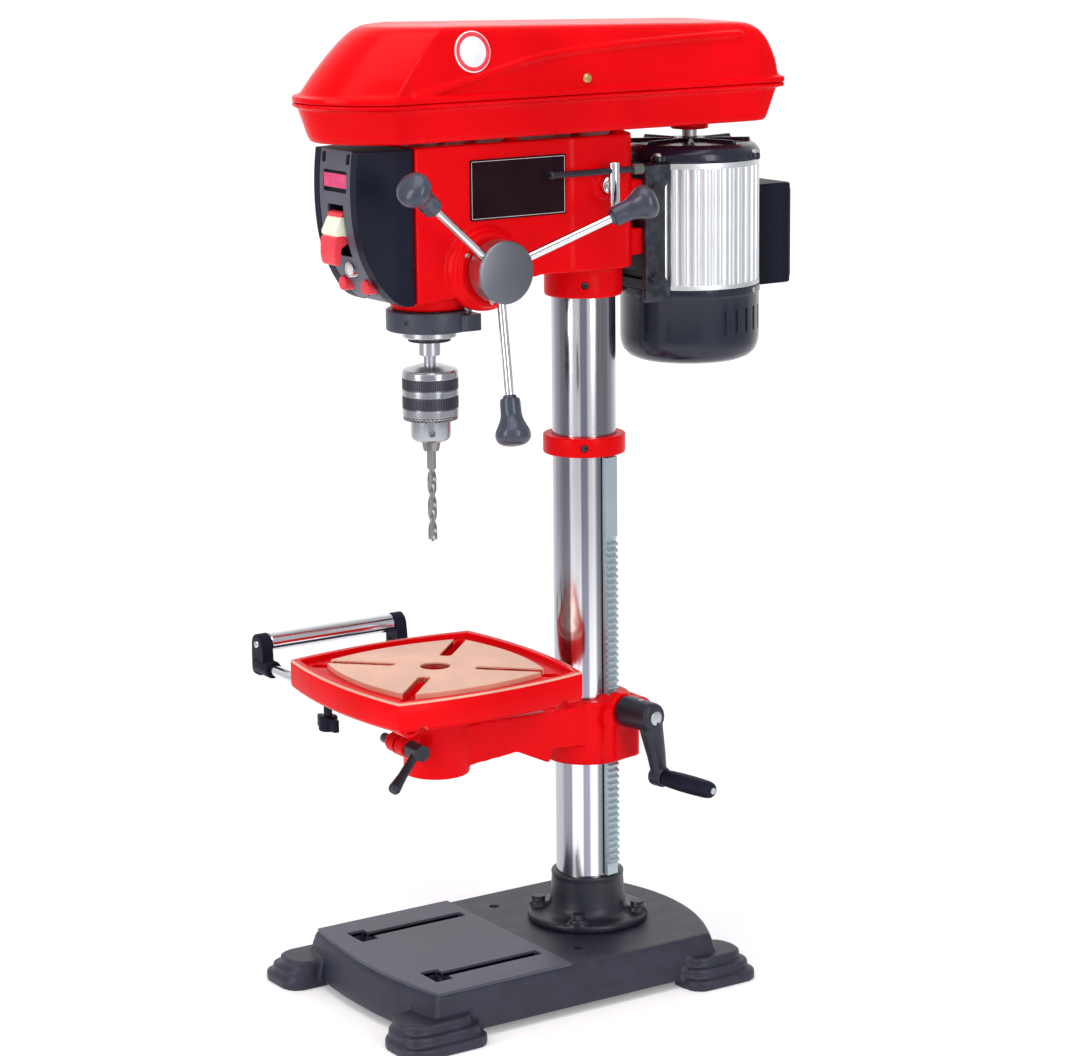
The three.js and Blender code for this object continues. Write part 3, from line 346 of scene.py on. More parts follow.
black_plastic = moulded("black_moulded_plastic", (0.007, 0.008, 0.019), 0.42, 1.0, Specular_IOR_Level=0.1)
panel_plastic = moulded("panel_grey_plastic", (0.080, 0.083, 0.108), 0.40, 0.7)
motor_gloss = moulded("motor_black_gloss", (0.007, 0.009, 0.022), 0.24, 0.05, 420.0, 0.08, Coat_Weight=0.25)
knob_plastic = moulded("knob_grey_plastic", (0.034, 0.041, 0.062), 0.30, 0.15, 420.0, 0.2, Coat_Weight=0.3)
ring_plastic = moulded("depth_ring_grey", (0.038, 0.043, 0.062), 0.38, 0.5)
red_plastic = moulded("red_switch_plastic", (0.72, 0.035, 0.055), 0.32, 0.15, 500.0)
cream_plastic = moulded("cream_switch_plastic", (0.90, 0.86, 0.62), 0.35, 0.15, 500.0)
white_plastic = moulded("white_lens_plastic", (0.80, 0.81, 0.84), 0.18, 0.05, 500.0, Coat_Weight=0.5)
belt_rubber = moulded("belt_rubber", (0.012, 0.012, 0.013), 0.75, 1.2, 300.0)
window_red = moulded("display_window_red", (0.62, 0.010, 0.12), 0.12, 0.02, 300.0, Coat_Weight=0.8)
tip_grey_green = moulded("grey_green_bar_tips", (0.085, 0.10, 0.075), 0.4, 0.3, 300.0)
# Painted shade: a dull near-black for the floor of the switch well.
well_shade_finish = moulded("painted_well_shade", (0.006, 0.006, 0.007), 0.8, 0.4)
plate_black = moulded("data_plate_black", (0.013, 0.004, 0.007), 0.5, 0.05, 300.0, 0.0,
                      Specular_IOR_Level=0.04)
plate_ink = moulded("data_plate_border", (0.62, 0.60, 0.56), 0.4, 0.05, 300.0)
print("plastics ready")

# %% [markdown]
# ## Workshop helpers
# Nearly every part of a machine is a turned shape, a cut plate, a bar or a casting, so five small helpers
# make almost everything: `spun` sweeps half a profile round an axis, `slab` pushes an outline to a
# thickness, `lofted` bridges outlines stacked in a row, `rod` bridges circles along a path, and `block` is
# a scaled cube. All work in millimetres measured from the column's axis, which reads like a drawing.

# %% Turned shapes, plates and bars
def point(u, v, w, along):
    return {"X": (w, u, v), "Y": (u, w, v), "Z": (u, v, w)}[along]


def tidy(piece):
    bmesh.ops.remove_doubles(piece, verts=piece.verts, dist=0.0005)
    bmesh.ops.recalc_face_normals(piece, faces=piece.faces)
    return piece


def spun(profile, centre=(0, 0), along="Z", steps=72):
    """Turn a profile of (radius, place along the axis) pairs round an axis."""
    piece = bmesh.new()
    line = [piece.verts.new(point(centre[0] + r, centre[1], w, along)) for r, w in profile]
    edges = [piece.edges.new(pair) for pair in zip(line, line[1:])]
    bmesh.ops.spin(piece, geom=line + edges, cent=point(*centre, 0, along), axis=point(0, 0, 1, along),
                   angle=math.tau, steps=steps, use_merge=True)
    return tidy(piece)


def slab(outline, low, high, along="Z"):
    piece = bmesh.new()
    face = piece.faces.new([piece.verts.new(point(u, v, low, along)) for u, v in outline])
    grown = bmesh.ops.extrude_face_region(piece, geom=[face])["geom"]
    moving = [v for v in grown if isinstance(v, bmesh.types.BMVert)]
    bmesh.ops.translate(piece, verts=moving, vec=point(0, 0, high - low, along))
    return tidy(piece)


def lofted(sections):
    """Bridge closed outlines that have the same number of points, and close both ends."""
    piece = bmesh.new()
    loops = []
    for section in sections:
        ring = [piece.verts.new(p) for p in section]
        loops.append([piece.edges.new((a, b)) for a, b in zip(ring, ring[1:] + ring[:1])])
    for low, high in zip(loops, loops[1:]):
        bmesh.ops.bridge_loops(piece, edges=low + high)
    for end in (loops[0], loops[-1]):
        bmesh.ops.edgeloop_fill(piece, edges=end)
    return tidy(piece)


def circle(centre, normal, radius, sides=32):
    turn = Vector(normal).to_track_quat("Z", "Y")
    angles = [math.tau * i / sides for i in range(sides)]
    return [Vector(centre) + turn @ Vector((radius * math.cos(a), radius * math.sin(a), 0)) for a in angles]


def rod(path, radii, sides=32):
    """A round bar along a path, with a radius for each point."""
    path = [Vector(p) for p in path]
    radii = radii if isinstance(radii, (list, tuple)) else [radii] * len(path)
    sections = []
    for i, (place, radius) in enumerate(zip(path, radii)):
        ahead = path[min(i + 1, len(path) - 1)] - path[max(i - 1, 0)]
        sections.append(circle(place, ahead, radius, sides))
    return lofted(sections)


def block(low, high):
    piece = bmesh.new()
    size = Vector(high) - Vector(low)
    middle = (Vector(high) + Vector(low)) / 2
    bmesh.ops.create_cube(piece, size=1, matrix=Matrix.Translation(middle) @ Matrix.Diagonal((*size, 1)))
    return piece


print("helpers ready")

# %% [markdown]
# ## Rounded outlines
# Sharp corners catch no light, and nothing cast or moulded has them. `eased` walks along an outline and
# replaces each corner by a short curve. It could be done with a Bevel modifier on the finished piece, but
# easing the drawing first is cheaper and never fails.

# %% Ease the corners of a drawing
def eased(points, radius, closed=True, steps=5):
    points = [Vector(p) for p in points]
    made = []
    count = len(points)
    for i, corner in enumerate(points):
        if not closed and i in (0, count - 1):
            made.append(tuple(corner))
            continue
        before = points[i - 1] - corner
        after = points[(i + 1) % count] - corner
        first = corner + before.normalized() * min(radius, before.length * 0.49)
        last = corner + after.normalized() * min(radius, after.length * 0.49)
        for s in range(steps + 1):
            t = s / steps
            made.append(tuple(first * (1 - t) ** 2 + corner * 2 * t * (1 - t) + last * t * t))
    return made


def panel(x0, x1, y0, y1, radius):
    return eased([(x0, y0), (x1, y0), (x1, y1), (x0, y1)], radius)


def profile_eased(profile, radius):
    return eased(profile, radius, closed=False, steps=4)


def stub(radius, low, high, ease, centre=(0, 0), along="Z", steps=72):
    """A solid cylinder with eased ends."""
    line = profile_eased([(0, low), (radius, low), (radius, high), (0, high)], ease)
    return spun(line, centre, along, steps)


def ring(inner, outer, low, high, ease, centre=(0, 0), steps=96):
    line = profile_eased([(inner, low), (outer, low), (outer, high), (inner, high)], ease)
    return spun([*line, line[0]], centre, steps=steps)


print("a rounded square has", len(panel(0, 10, 0, 10, 2)), "points")

# %% [markdown]
# ## Joining and cutting
# Bolts, bosses and ribs are `gathered` into one mesh, and holes are cut with a Boolean modifier whose
# result is read back. Castings go through `cast`: a voxel remesh welds everything into one skin and a few
# smoothing passes melt each edge and inner corner into the small fillet that a sand mould leaves.

# %% Gather, cut and cast
def gathered(*pieces):
    whole = bmesh.new()
    for piece in pieces:
        mesh = bpy.data.meshes.new("shop_part")
        piece.to_mesh(mesh)
        piece.free()
        whole.from_mesh(mesh)
        bpy.data.meshes.remove(mesh)
    return whole


def on_bench(piece):
    mesh = bpy.data.meshes.new("shop_part")
    piece.to_mesh(mesh)
    piece.free()
    thing = bpy.data.objects.new("shop_part", mesh)
    bpy.context.scene.collection.objects.link(thing)
    return thing


def read_back(thing):
    bpy.context.view_layer.update()
    graph = bpy.context.evaluated_depsgraph_get()
    made = bmesh.new()
    made.from_mesh(thing.evaluated_get(graph).to_mesh())
    return made


def clear_bench(*things):
    for thing in things:
        mesh = thing.data
        bpy.data.objects.remove(thing)
        bpy.data.meshes.remove(mesh)


def worked(kind, piece, *tools):
    """Join, cut or keep the common part of solids."""
    body = on_bench(piece)
    helpers = [on_bench(tool) for tool in tools]
    for helper in helpers:
        step = body.modifiers.new("work", "BOOLEAN")
        step.operation = kind
        step.object = helper
        step.solver = "MANIFOLD"
    made = read_back(body)
    if not made.faces:
        made.free()
        for step in body.modifiers:
            step.solver = "EXACT"
        made = read_back(body)
    clear_bench(body, *helpers)
    return made


def carved(piece, *tools):
    made = worked("DIFFERENCE", piece, *tools)
    bmesh.ops.dissolve_limit(made, angle_limit=math.radians(0.4), verts=made.verts, edges=made.edges)
    return made


def drilled(piece, *tools):
    """Cut holes in a dense casting, whose faces are left as they are."""
    return worked("DIFFERENCE", piece, *tools)


def cast(piece, voxel=1.4, passes=6):
    thing = on_bench(piece)
    skin = thing.modifiers.new("skin", "REMESH")
    skin.mode = "VOXEL"
    skin.voxel_size = voxel
    soften = thing.modifiers.new("soften", "SMOOTH")
    soften.factor = 0.5
    soften.iterations = passes
    made = read_back(thing)
    clear_bench(thing)
    return made


def moved(piece, by=(0, 0, 0), turn=0.0, about="Z", centre=(0, 0, 0)):
    spin = Matrix.Rotation(math.radians(turn), 4, about)
    there = Matrix.Translation(centre)
    bmesh.ops.transform(piece, verts=piece.verts,
                        matrix=Matrix.Translation(by) @ there @ spin @ there.inverted())
    return piece


def round_axis(piece, turn, axis):
    """Turn a piece drawn about the column's axis and carry it to another upright axis."""
    return moved(moved(piece, turn=turn), by=(*axis, 0))


def stood(piece, place, facing):
    """Stand a piece drawn along +Z on a place, pointing along facing."""
    turn = Vector(facing).to_track_quat("Z", "Y").to_matrix().to_4x4()
    bmesh.ops.transform(piece, verts=piece.verts, matrix=Matrix.Translation(place) @ turn)
    return piece


print("workshop ready")

# %% [markdown]
# ## Handing a piece over
# `settle` takes a finished mesh to its place: it moves it from the column's axis to the machine's own
# frame, shrinks millimetres to metres, gives it its finish, hangs it under an empty for the body that
# carries it and hides the rough solid it stands for. A narrow Bevel modifier rounds the machined edges so
# that they catch the light.

# %% Settle a piece on its body
made_pieces = []


def settle(name, piece, finish, body, stands_for=(), edge=0.0, steps=2, crease=32):
    bmesh.ops.translate(piece, verts=piece.verts, vec=COLUMN)
    bmesh.ops.scale(piece, verts=piece.verts, vec=(MM, MM, MM))
    for face in piece.faces:
        face.smooth = True
    if not edge:
        for line in piece.edges:
            line.smooth = len(line.link_faces) != 2 or line.calc_face_angle(0) < math.radians(crease)
    mesh = bpy.data.meshes.new(name)
    piece.to_mesh(mesh)
    piece.free()
    thing = bpy.data.objects.new(name, mesh)
    bpy.context.scene.collection.objects.link(thing)
    mesh.materials.append(finish)
    if edge:
        round_over = thing.modifiers.new("round_over", "BEVEL")
        round_over.width = edge * MM
        round_over.segments = steps
        round_over.limit_method = "ANGLE"
        round_over.angle_limit = math.radians(crease)
        round_over.harden_normals = True
        round_over.use_clamp_overlap = False
    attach(thing, body)
    if stands_for:
        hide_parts(*stands_for)
    made_pieces.append(name)
    return thing


print("frame nodes", len(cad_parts))

# %% [markdown]
# ## Fasteners
# Bolts and screws tell the eye how big a machine is. A hex bolt is a six-sided slab with a turned crown and
# a washer, and a cap screw is a small cylinder with a hexagonal hole. They are made once here and placed
# wherever the machine is held together.

# %% Hex bolts and socket screws
def hexagon(radius, centre=(0, 0), turn=0.0):
    angles = [math.radians(60 * i + turn) for i in range(6)]
    return [(centre[0] + radius * math.cos(a), centre[1] + radius * math.sin(a)) for a in angles]


def hex_bolt(place, facing, radius=7.0, height=5.0, washer=True):
    """A hex head with chamfered corners that stands on place and points along facing."""
    crown = spun([(0, -0.2), (radius * 1.02, -0.2), (radius * 1.02, height * 0.8), (radius * 0.84, height),
                  (0, height)], steps=36)
    head = worked("INTERSECT", slab(hexagon(radius), 0, height), crown)
    bits = [head]
    if washer:
        bits.append(spun([(0, -0.3), (radius * 1.3, -0.3), (radius * 1.3, 0.9), (0, 0.9)], steps=36))
    return stood(gathered(*bits), place, facing)


def socket_screw(place, facing, radius=3.5, height=3.0, key=1.7):
    body = spun([(0, -1), (radius, -1), (radius, height - 0.5), (radius - 0.5, height), (0, height)],
                steps=36)
    screw = worked("DIFFERENCE", body, slab(hexagon(key), height - 1.8, height + 1))
    return stood(screw, place, facing)


def cross_screw(place, facing, radius=3.2, height=1.6):
    """A domed screw head with a cross recess."""
    dome = [(0, -0.6), (radius, -0.6), (radius, 0.2), (radius * 0.85, height * 0.75),
            (radius * 0.45, height)]
    body = spun([*dome, (0, height)], steps=36)
    wide = radius * 0.62
    slots = [block((-wide, -0.35, height * 0.3), (wide, 0.35, height + 1)),
             block((-0.35, -wide, height * 0.3), (0.35, wide, height + 1))]
    screw = worked("DIFFERENCE", body, *slots)
    return stood(screw, place, facing)


print("fasteners ready")

# %% [markdown]
# ## The base casting
# The base is a bowed iron box, open underneath, with stepped feet at its corners. Stacking five bowed
# outlines gives the body, each foot is three rounded plates that shrink as they rise, and one pass through
# `cast` welds them. The slots are cut after that, so their edges stay crisp like machined ones.

# %% Cast the base
def bowed(half, front, rear, bow_front, bow_rear, height, steps=20):
    """A rectangle whose front and rear edges bow outward, at one height."""
    run = [-1 + 2 * i / steps for i in range(steps + 1)]
    near = [(half * t, front - bow_front * (1 - t * t), height) for t in run]
    far = [(half * t, rear + bow_rear * (1 - t * t), height) for t in reversed(run)]
    return near + far


BASE_TOP = 45.0
BASE_SIDES = [(118, -246, 71, 7), (118, -246, 71, 14), (116.5, -244.5, 69.5, 21), (112.2, -240, 66, 41),
              (110.7, -238, 64, BASE_TOP)]


def foot(side, y0, y1):
    tiers = []
    for inset, low, high in ((0, 0, 10), (6.5, 8.5, 18.6), (14, 17, 27)):
        deep = inset * 0.55
        shape = eased([(80, y0 + deep), (141 - inset, y0 + deep), (141 - inset, y1 - deep),
                       (80, y1 - deep)], 22, steps=8)
        tiers.append(slab([(side * x, y) for x, y in shape], low, high))
    return gathered(*tiers)


feet = [foot(side, y0, y1) for side in (-1, 1) for y0, y1 in ((-285, -197), (27, 105))]
shell = lofted([bowed(half, front, rear, 12, 33, z) for half, front, rear, z in BASE_SIDES])
column_seat = spun([(0, 33), (64, 33), (64, 44.8), (0, 44.8)])
rough = cast(gathered(shell, column_seat, *feet), 1.7, 5)
hollow = lofted([bowed(half, front, rear, 12, 33, z)
                 for half, front, rear, z in ((108, -236, 61, -5), (101, -229, 55, 33))])
print("base skin has", len(rough.faces), "faces")

# %% Cut the slots and bolt holes
def key_slot(x, low=20, high=60):
    """A slot with a wider square pocket at its front end, where a bolt head drops in."""
    outline = [(x - 15, -222), (x + 15, -222), (x + 15, -204), (x + 6, -204), (x + 6, -101), (x - 6, -101),
               (x - 6, -204), (x - 15, -204)]
    return slab(eased(outline, 1.2, steps=2), low, high)


bolt_holes = [spun([(0, 20), (5, 20), (5, 60), (0, 60)], (side * 74, -60)) for side in (-1, 1)]
base_piece = drilled(rough, hollow, key_slot(-67), key_slot(67), *bolt_holes)
settle("base_casting", base_piece, base_paint, "frame", ["base"])

work_outline = [(x, y) for x, y, _ in bowed(109.9, -237.4, -92, 12, 0, 0)]
work_face = carved(slab(work_outline, 42.0, 47.5), key_slot(-67, 40), key_slot(67, 40))
settle("base_work_face", work_face, base_ground, "frame", edge=0.5)

# %% [markdown]
# ## Column holder and column
# The holder is a turned flange that sweeps up into a sleeve, with four raised bosses for its bolts. The
# column is a plain polished tube, so all of its character is in its finish. The rack beside it is one long
# toothed outline pushed to a thickness, which is far lighter than cutting fifty notches.

# %% Holder, bolts and tube
flange = [(0, 45.3), (58, 45.3), (58, 51), (56.8, 52.6), (44, 53.4), (39.5, 55.4), (37, 60), (35.8, 68),
          (34.8, 82), (34.4, 88), (35.2, 91.5), (34.4, 93), (0, 93)]
bosses = []
holder_bolts = []
for quarter in range(4):
    a = math.radians(45 + 90 * quarter)
    spot = (48.5 * math.cos(a), 48.5 * math.sin(a))
    bosses.append(spun([(0, 46), (9.4, 46), (8.8, 57.6), (0, 57.6)], spot, steps=48))
    holder_bolts.append(hex_bolt((*spot, 57.4), (0, 0, 1), 6.6, 5.0, washer=False))
holder = cast(gathered(spun(profile_eased(flange, 1.5)), *bosses), 1.1, 5)
bore = spun([(0, 0), (30.2, 0), (30.2, 200), (0, 200)], steps=128)
settle("column_holder_casting", drilled(holder, bore), black_iron, "frame",
       ["column_holder"])
settle("holder_bolts", gathered(*holder_bolts), black_iron, "frame", edge=0.25)

tube = spun([(26, 45.3), (30, 45.3), (30, 744), (29, 745), (26, 745), (26, 45.3)], steps=128)
settle("column_polished_tube", tube, column_steel, "frame", ["column_tube"])
print("column radius 30 mm, height 745 mm")

# %% Rack and its collar
RACK_TURN = 10.0
CRANK, GRIP_PIN = (0, 260), (12, 200)
teeth = []
for tooth in range(50):
    z = 106 + tooth * 6.3
    teeth += [(34.6, z), (37.6, z + 1.5), (38.0, z + 2.0), (38.0, z + 3.2), (37.6, z + 3.7),
              (34.6, z + 5.2)]
rack_line = [(30.6, 94.5), (35.2, 94.5), (35.2, 104), *teeth, (35.2, 423), (37, 425), (37, 501),
             (30.6, 501)]
rack_flat = slab(rack_line, -6.8, 6.8, "Y")
settle("rack_bar", moved(rack_flat, turn=RACK_TURN), rack_steel, "rack", ["column_rack"],
       edge=0.25, steps=1)

collar = ring(30.4, 38.7, 502.2, 520, 1.6)
screw_well = moved(spun([(0, 34), (3.6, 34), (3.6, 50), (0, 50)], (0, 511), "X"), turn=-34)
settle("rack_collar_ring", carved(collar, screw_well), red_casting, "frame", ["rack_collar"],
       edge=0.4)
set_screw = moved(socket_screw((35.2, 0, 511), (1, 0, 0), 3.2, 2.4, 1.5), turn=-34)
settle("rack_collar_screw", set_screw, black_iron, "frame")
print("rack has 50 teeth")

# %% [markdown]
# ## The table bracket
# One casting clamps on the column, houses the lifting gear and reaches forward to a second clamp that holds
# the table's stem. Each volume is simple, and `cast` turns their union into one flowing shape. The bores
# and the two clamp slits are cut afterwards because they are machined on the real part too.

# %% Cast the bracket
SPINDLE = (0, -168)
IDLER = (0, -24)
MOTOR = (0, 122)
COLUMN_CLAMP, TABLE_CLAMP = (54, 246), (-206, 250)


def plain_bore(radius, low, high, centre=(0, 0), along="Z", steps=72):
    return spun([(0, low), (radius, low), (radius, high), (0, high)], centre, along, steps)


sleeve = stub(42, 207, 268, 2.5)
gear_box = slab(panel(28, 50, -19, 26, 9), 211, 256)
gear_boss = plain_bore(21, 28, 47, (0, 254), "X")
gear_collar = plain_bore(16.5, 40, 51, CRANK, "X")
gear_side = moved(gathered(gear_box, gear_boss, gear_collar), turn=RACK_TURN)
arm_side = slab([(-18, 227), (-18, 266), (-142, 266), (-160, 263), (-160, 223), (-148, 226), (-97, 231.5),
                 (-66, 217), (-62.5, 217), (-61.5, 229)], -45, 45, "X")
arm_plan = slab([(-25, -160), (25, -160), (37, -8), (-37, -8)], 200, 270)
arm = worked("INTERSECT", arm_side, arm_plan)
stem_clamp = stub(31, 218, 272, 2, SPINDLE)
rear_ears = gathered(block((-17, 30, 228), (17, 54, 258)), plain_bore(12, -17, 17, COLUMN_CLAMP, "X"))
front_ears = gathered(block((-16, -206, 238), (16, -188, 260)), plain_bore(9, -16, 16, TABLE_CLAMP, "X"))
bracket_skin = cast(gathered(sleeve, gear_side, arm, stem_clamp, rear_ears, front_ears), 1.35, 6)
bracket_cuts = [
    plain_bore(30.3, 150, 300, steps=128), plain_bore(20.2, 200, 300, SPINDLE, steps=96),
    block((-1.5, 20, 190), (1.5, 80, 290)), block((-1.5, -230, 190), (1.5, -186, 290)),
    moved(block((20, -7.4, 190), (38.6, 7.4, 290)), turn=RACK_TURN),
    moved(plain_bore(7.4, 36, 70, CRANK, "X"), turn=RACK_TURN),
    plain_bore(5.4, -30, 30, COLUMN_CLAMP, "X"), plain_bore(5.4, -30, 30, TABLE_CLAMP, "X")]
settle("bracket_casting", drilled(bracket_skin, *bracket_cuts), red_casting, "bracket",
       ["table_bracket"])
gib_screw = moved(socket_screw((41.3, 0, 246), (1, 0, 0), 2.6, 1.4, 1.2), turn=-38)
settle("bracket_set_screw", gib_screw, brass, "bracket")

# %% [markdown]
# ## Clamp levers
# Each clamp is a bolt with a bent handle. The handle is a bar along a bent path, thicker at its grip, and
# a fine remesh blends it into the hexagonal head the way a forging does.

# %% Table lock and column lock
def drop_lever(label, head_x, hub, path):
    shank_x = (-head_x[1] + 8, head_x[0] + 1) if head_x[1] > 0 else (head_x[1] - 1, 22)
    shank = plain_bore(4.9, *shank_x, hub, "X")
    head = slab(hexagon(8.5, hub, 30), head_x[0], head_x[1], "X")
    handle = rod(path, [4.4, 4.2, 4.4, 5.9, 4.6], 28)
    lever = gathered(cast(gathered(head, handle), 0.55, 3), shank)
    settle(f"{label}_lock_handle", lever, black_iron, f"{label}_lock",
           [f"{label}_lock_lever"])


drop_lever("table", (16.6, 38), TABLE_CLAMP,
           [(28, -205, 251), (33, -217, 241), (38.4, -228.5, 232.5), (43, -239.6, 223.8), (44, -242, 222)])
drop_lever("column", (-39.8, -17.6), COLUMN_CLAMP,
           [(-31, 53, 247), (-37, 68, 237), (-42, 81.5, 229.1), (-47.4, 96, 220), (-48, 98, 219)])
print("two clamp levers")

# %% [markdown]
# ## The lifting crank
# A cast arm with a hub on the pinion shaft and an eye for its handle. The arm swells towards the hub, so
# its sections are circles of changing radius squashed along the shaft. The handle is turned, with a soft
# belly that fills the hand, and spins on its pin.

# %% Crank arm and handle
hub = spun(profile_eased([(0, 52.5), (13.5, 52.5), (15, 55), (14, 90), (12, 93.4), (0, 93.4)], 2), CRANK,
           "X")
eye_boss = stub(9.5, 79, 94, 2, GRIP_PIN, "X")
arm_bar = rod([(84, 0, 262), (85, 3, 245), (86, 8, 222), (86.4, 12, 200)], [13.0, 12.0, 9.8, 8.0])
bmesh.ops.scale(arm_bar, verts=arm_bar.verts, vec=(0.8, 1, 1), space=Matrix.Translation((-86, 0, 0)))
crank_skin = cast(gathered(hub, eye_boss, arm_bar, plain_bore(6.7, 40, 60, CRANK, "X")), 0.8, 5)
crank_piece = moved(drilled(crank_skin, plain_bore(4.3, 70, 120, GRIP_PIN, "X")), turn=RACK_TURN)
settle("crank_casting", crank_piece, black_iron, "crank", ["crank"])
crank_screw = moved(socket_screw((74, 0, 273.4), (0, 0, 1), 2.6, 1.2, 1.3), turn=RACK_TURN)
shaft_end = moved(spun(profile_eased([(0, 90), (6.8, 90), (6.8, 94.6), (0, 94.9)], 0.8), CRANK, "X"),
                  turn=RACK_TURN)
settle("crank_shaft_end", gathered(crank_screw, shaft_end), turned_steel, "crank")

grip_line = [(0, 94.6), (7.4, 94.6), (7.9, 97), (8.3, 101), (8.8, 116), (8.8, 132), (8.3, 148), (7.3, 153),
             (5.2, 155.4), (0, 156)]
grip = gathered(spun(profile_eased(grip_line, 1.5), GRIP_PIN, "X"), plain_bore(4, 78, 100, GRIP_PIN, "X"))
settle("crank_handle", moved(grip, turn=RACK_TURN), black_plastic, "crank_grip",
       ["crank_grip"])
pin_end = moved(spun([(0, 155.2), (3.2, 155.2), (3.2, 156.2), (2.6, 156.8), (0, 156.9)], GRIP_PIN, "X"),
                turn=RACK_TURN)
settle("crank_pin_end", pin_end, turned_steel, "crank_grip")
print("crank swings", 60, "mm")

# %% [markdown]
# ## The work table
# A square casting whose sides bow out a little, with a ground pad inside a gutter that catches oil. Four
# diagonal slots run from the pad's middle out into the gutter at its corners. The pad is its own piece, so
# that bare ground iron and red enamel meet on a crisp line.

# %% Table body and ground pad
TABLE_TOP = 319.3
TABLE_SIDES = [(95, 291.5), (97.6, 294.5), (98, 297.5), (98, 317.9), (97.6, 318.9), (96.6, 319.3)]
ROD_Z = 290
RODS = {"front": -243, "rear": -93}


def bowed_square(half, bow, height, steps=14):
    """A square with outward bowed sides round the spindle line, at one height."""
    ring = []
    for side in range(4):
        a = math.radians(90 * side)
        for i in range(steps):
            t = -1 + 2 * i / steps
            u, v = half + bow * (1 - t * t), half * t
            ring.append((u * math.cos(a) - v * math.sin(a), SPINDLE[1] + u * math.sin(a) + v * math.cos(a),
                         height))
    return ring


def flat(ring):
    return [(x, y) for x, y, _ in ring]


def diagonal_slot(quarter, low, high):
    slot = slab(eased([(38, -6), (118, -6), (118, 6), (38, 6)], 5.9, steps=8), low, high)
    return round_axis(slot, 45 + 90 * quarter, SPINDLE)


table_block = lofted([bowed_square(half, 10, z) for half, z in TABLE_SIDES])
gutter = worked("DIFFERENCE", slab(flat(bowed_square(91.5, 10, 0)), 314.6, 325),
                slab(flat(bowed_square(73.4, 11.4, 0)), 310, 318.4))
underside = slab(flat(bowed_square(89, 9, 0)), 285, 306.5)
rod_notches = [plain_bore(6.2, -120, 120, (y, ROD_Z), "X") for y in RODS.values()]
table_skin = carved(table_block, underside, gutter, *rod_notches,
                    *[diagonal_slot(q, 290, 330) for q in range(4)],
                    plain_bore(14, 200, 330, SPINDLE, steps=96))
settle("table_top_casting", table_skin, red_casting, "table", ["table"], edge=0.7)

pad = carved(slab(flat(bowed_square(74, 11.4, 0)), 313, TABLE_TOP),
             *[diagonal_slot(q, 290, 330) for q in range(4)], plain_bore(14, 200, 330, SPINDLE, steps=96))
settle("table_ground_pad", pad, table_ground, "table", edge=0.4)
rim = lofted([bowed_square(half, 10, z)
              for half, z in ((98.05, 317.7), (98.08, 318.2), (97.3, 319.25), (96.9, 319.4))])
rim = carved(rim, slab(flat(bowed_square(96.5, 10, 0)), 300, 330))
settle("table_worn_rim", rim, table_ground, "table")
print("table top at", TABLE_TOP, "mm")

# %% Stem, ribs and rod lugs under the table
stem = spun([(0, 222), (19, 222), (20, 223), (20, 274), (30.5, 275.5), (33.5, 298), (34, 308), (0, 308)],
            SPINDLE)
ribs = [block((-90, -171, 299), (90, -165, 308)), block((-3, -258, 299), (3, -78, 308))]
lugs = []
for x in (-70, 70):
    for y in RODS.values():
        lugs.append(block((x - 10, y - 9.6, 290), (x + 10, y + 9.6, 307.5)))
        lugs.append(plain_bore(9.8, x - 10, x + 10, (y, ROD_Z), "X"))
under_skin = cast(gathered(stem, *ribs, *lugs), 1.2, 4)
rod_bores = [plain_bore(5.8, -120, 120, (y, ROD_Z), "X") for y in RODS.values()]
under_cuts = [plain_bore(13.9, 200, 330, SPINDLE), *rod_bores]
under_cuts += [plain_bore(4.3, 270, 286, (-70, y)) for y in RODS.values()]
settle("table_under_casting", drilled(under_skin, *under_cuts), red_casting, "table")
print("stem radius 20 mm")

# %% [markdown]
# ## The sliding roller rest
# Two bright rods slide through lugs under the table and carry a roller on its left side. The ends are black
# moulded plates, each held by a chrome screw, and two wing knobs lock the rods.

# %% Rods, roller and end plates
ROLLER_X = -195.0
ROLLER = (ROLLER_X, 312)
for label, y in RODS.items():
    bar = stub(5.5, -187.6, 76, 1, (y, ROD_Z), "X", 64)
    settle(f"roller_rod_{label}_bar", bar, chrome, "roller_carriage",
           [f"roller_rod_{label}"])
    side = [(-206, 285), (-202, 281.6), (-188, 281.6), (-184, 288), (-183.2, 300), (-186, 317),
            (-196, 322.8), (-205, 317), (-206, 300)]
    plate = slab(eased(side, 5, steps=6), y - 6, y + 6, "Y")
    cuff = stub(8.5, -201, -173.2, 1, (y, ROD_Z), "X")
    inward = y + (7 if y < -168 else -7)
    pin_bore = plain_bore(4.3, min(y, inward), max(y, inward), ROLLER, "Y")
    end = carved(worked("UNION", plate, cuff), plain_bore(5.7, -188.4, -150, (y, ROD_Z), "X"), pin_bore)
    settle(f"roller_end_{label}_plate", end, black_plastic, "roller_carriage",
           [f"roller_end_{label}"], edge=0.8)
    outward = -1 if y < -168 else 1
    pin_screw = cross_screw((ROLLER_X, y + outward * 6, 311.5), (0, outward, 0), 3.6, 1.6)
    settle(f"roller_end_{label}_screw", pin_screw, chrome, "roller_carriage")

roller_line = [(0, -241.6), (4, -241.6), (4, -236.6), (8, -236.4), (9, -235.4), (9, -100.6), (8, -99.6),
               (4, -99.4), (4, -94.4), (0, -94.4)]
settle("roller_tube", spun(roller_line, ROLLER, "Y", 72), chrome, "roller", ["roller"])
print("roller between", -236.6, "and", -99.4)

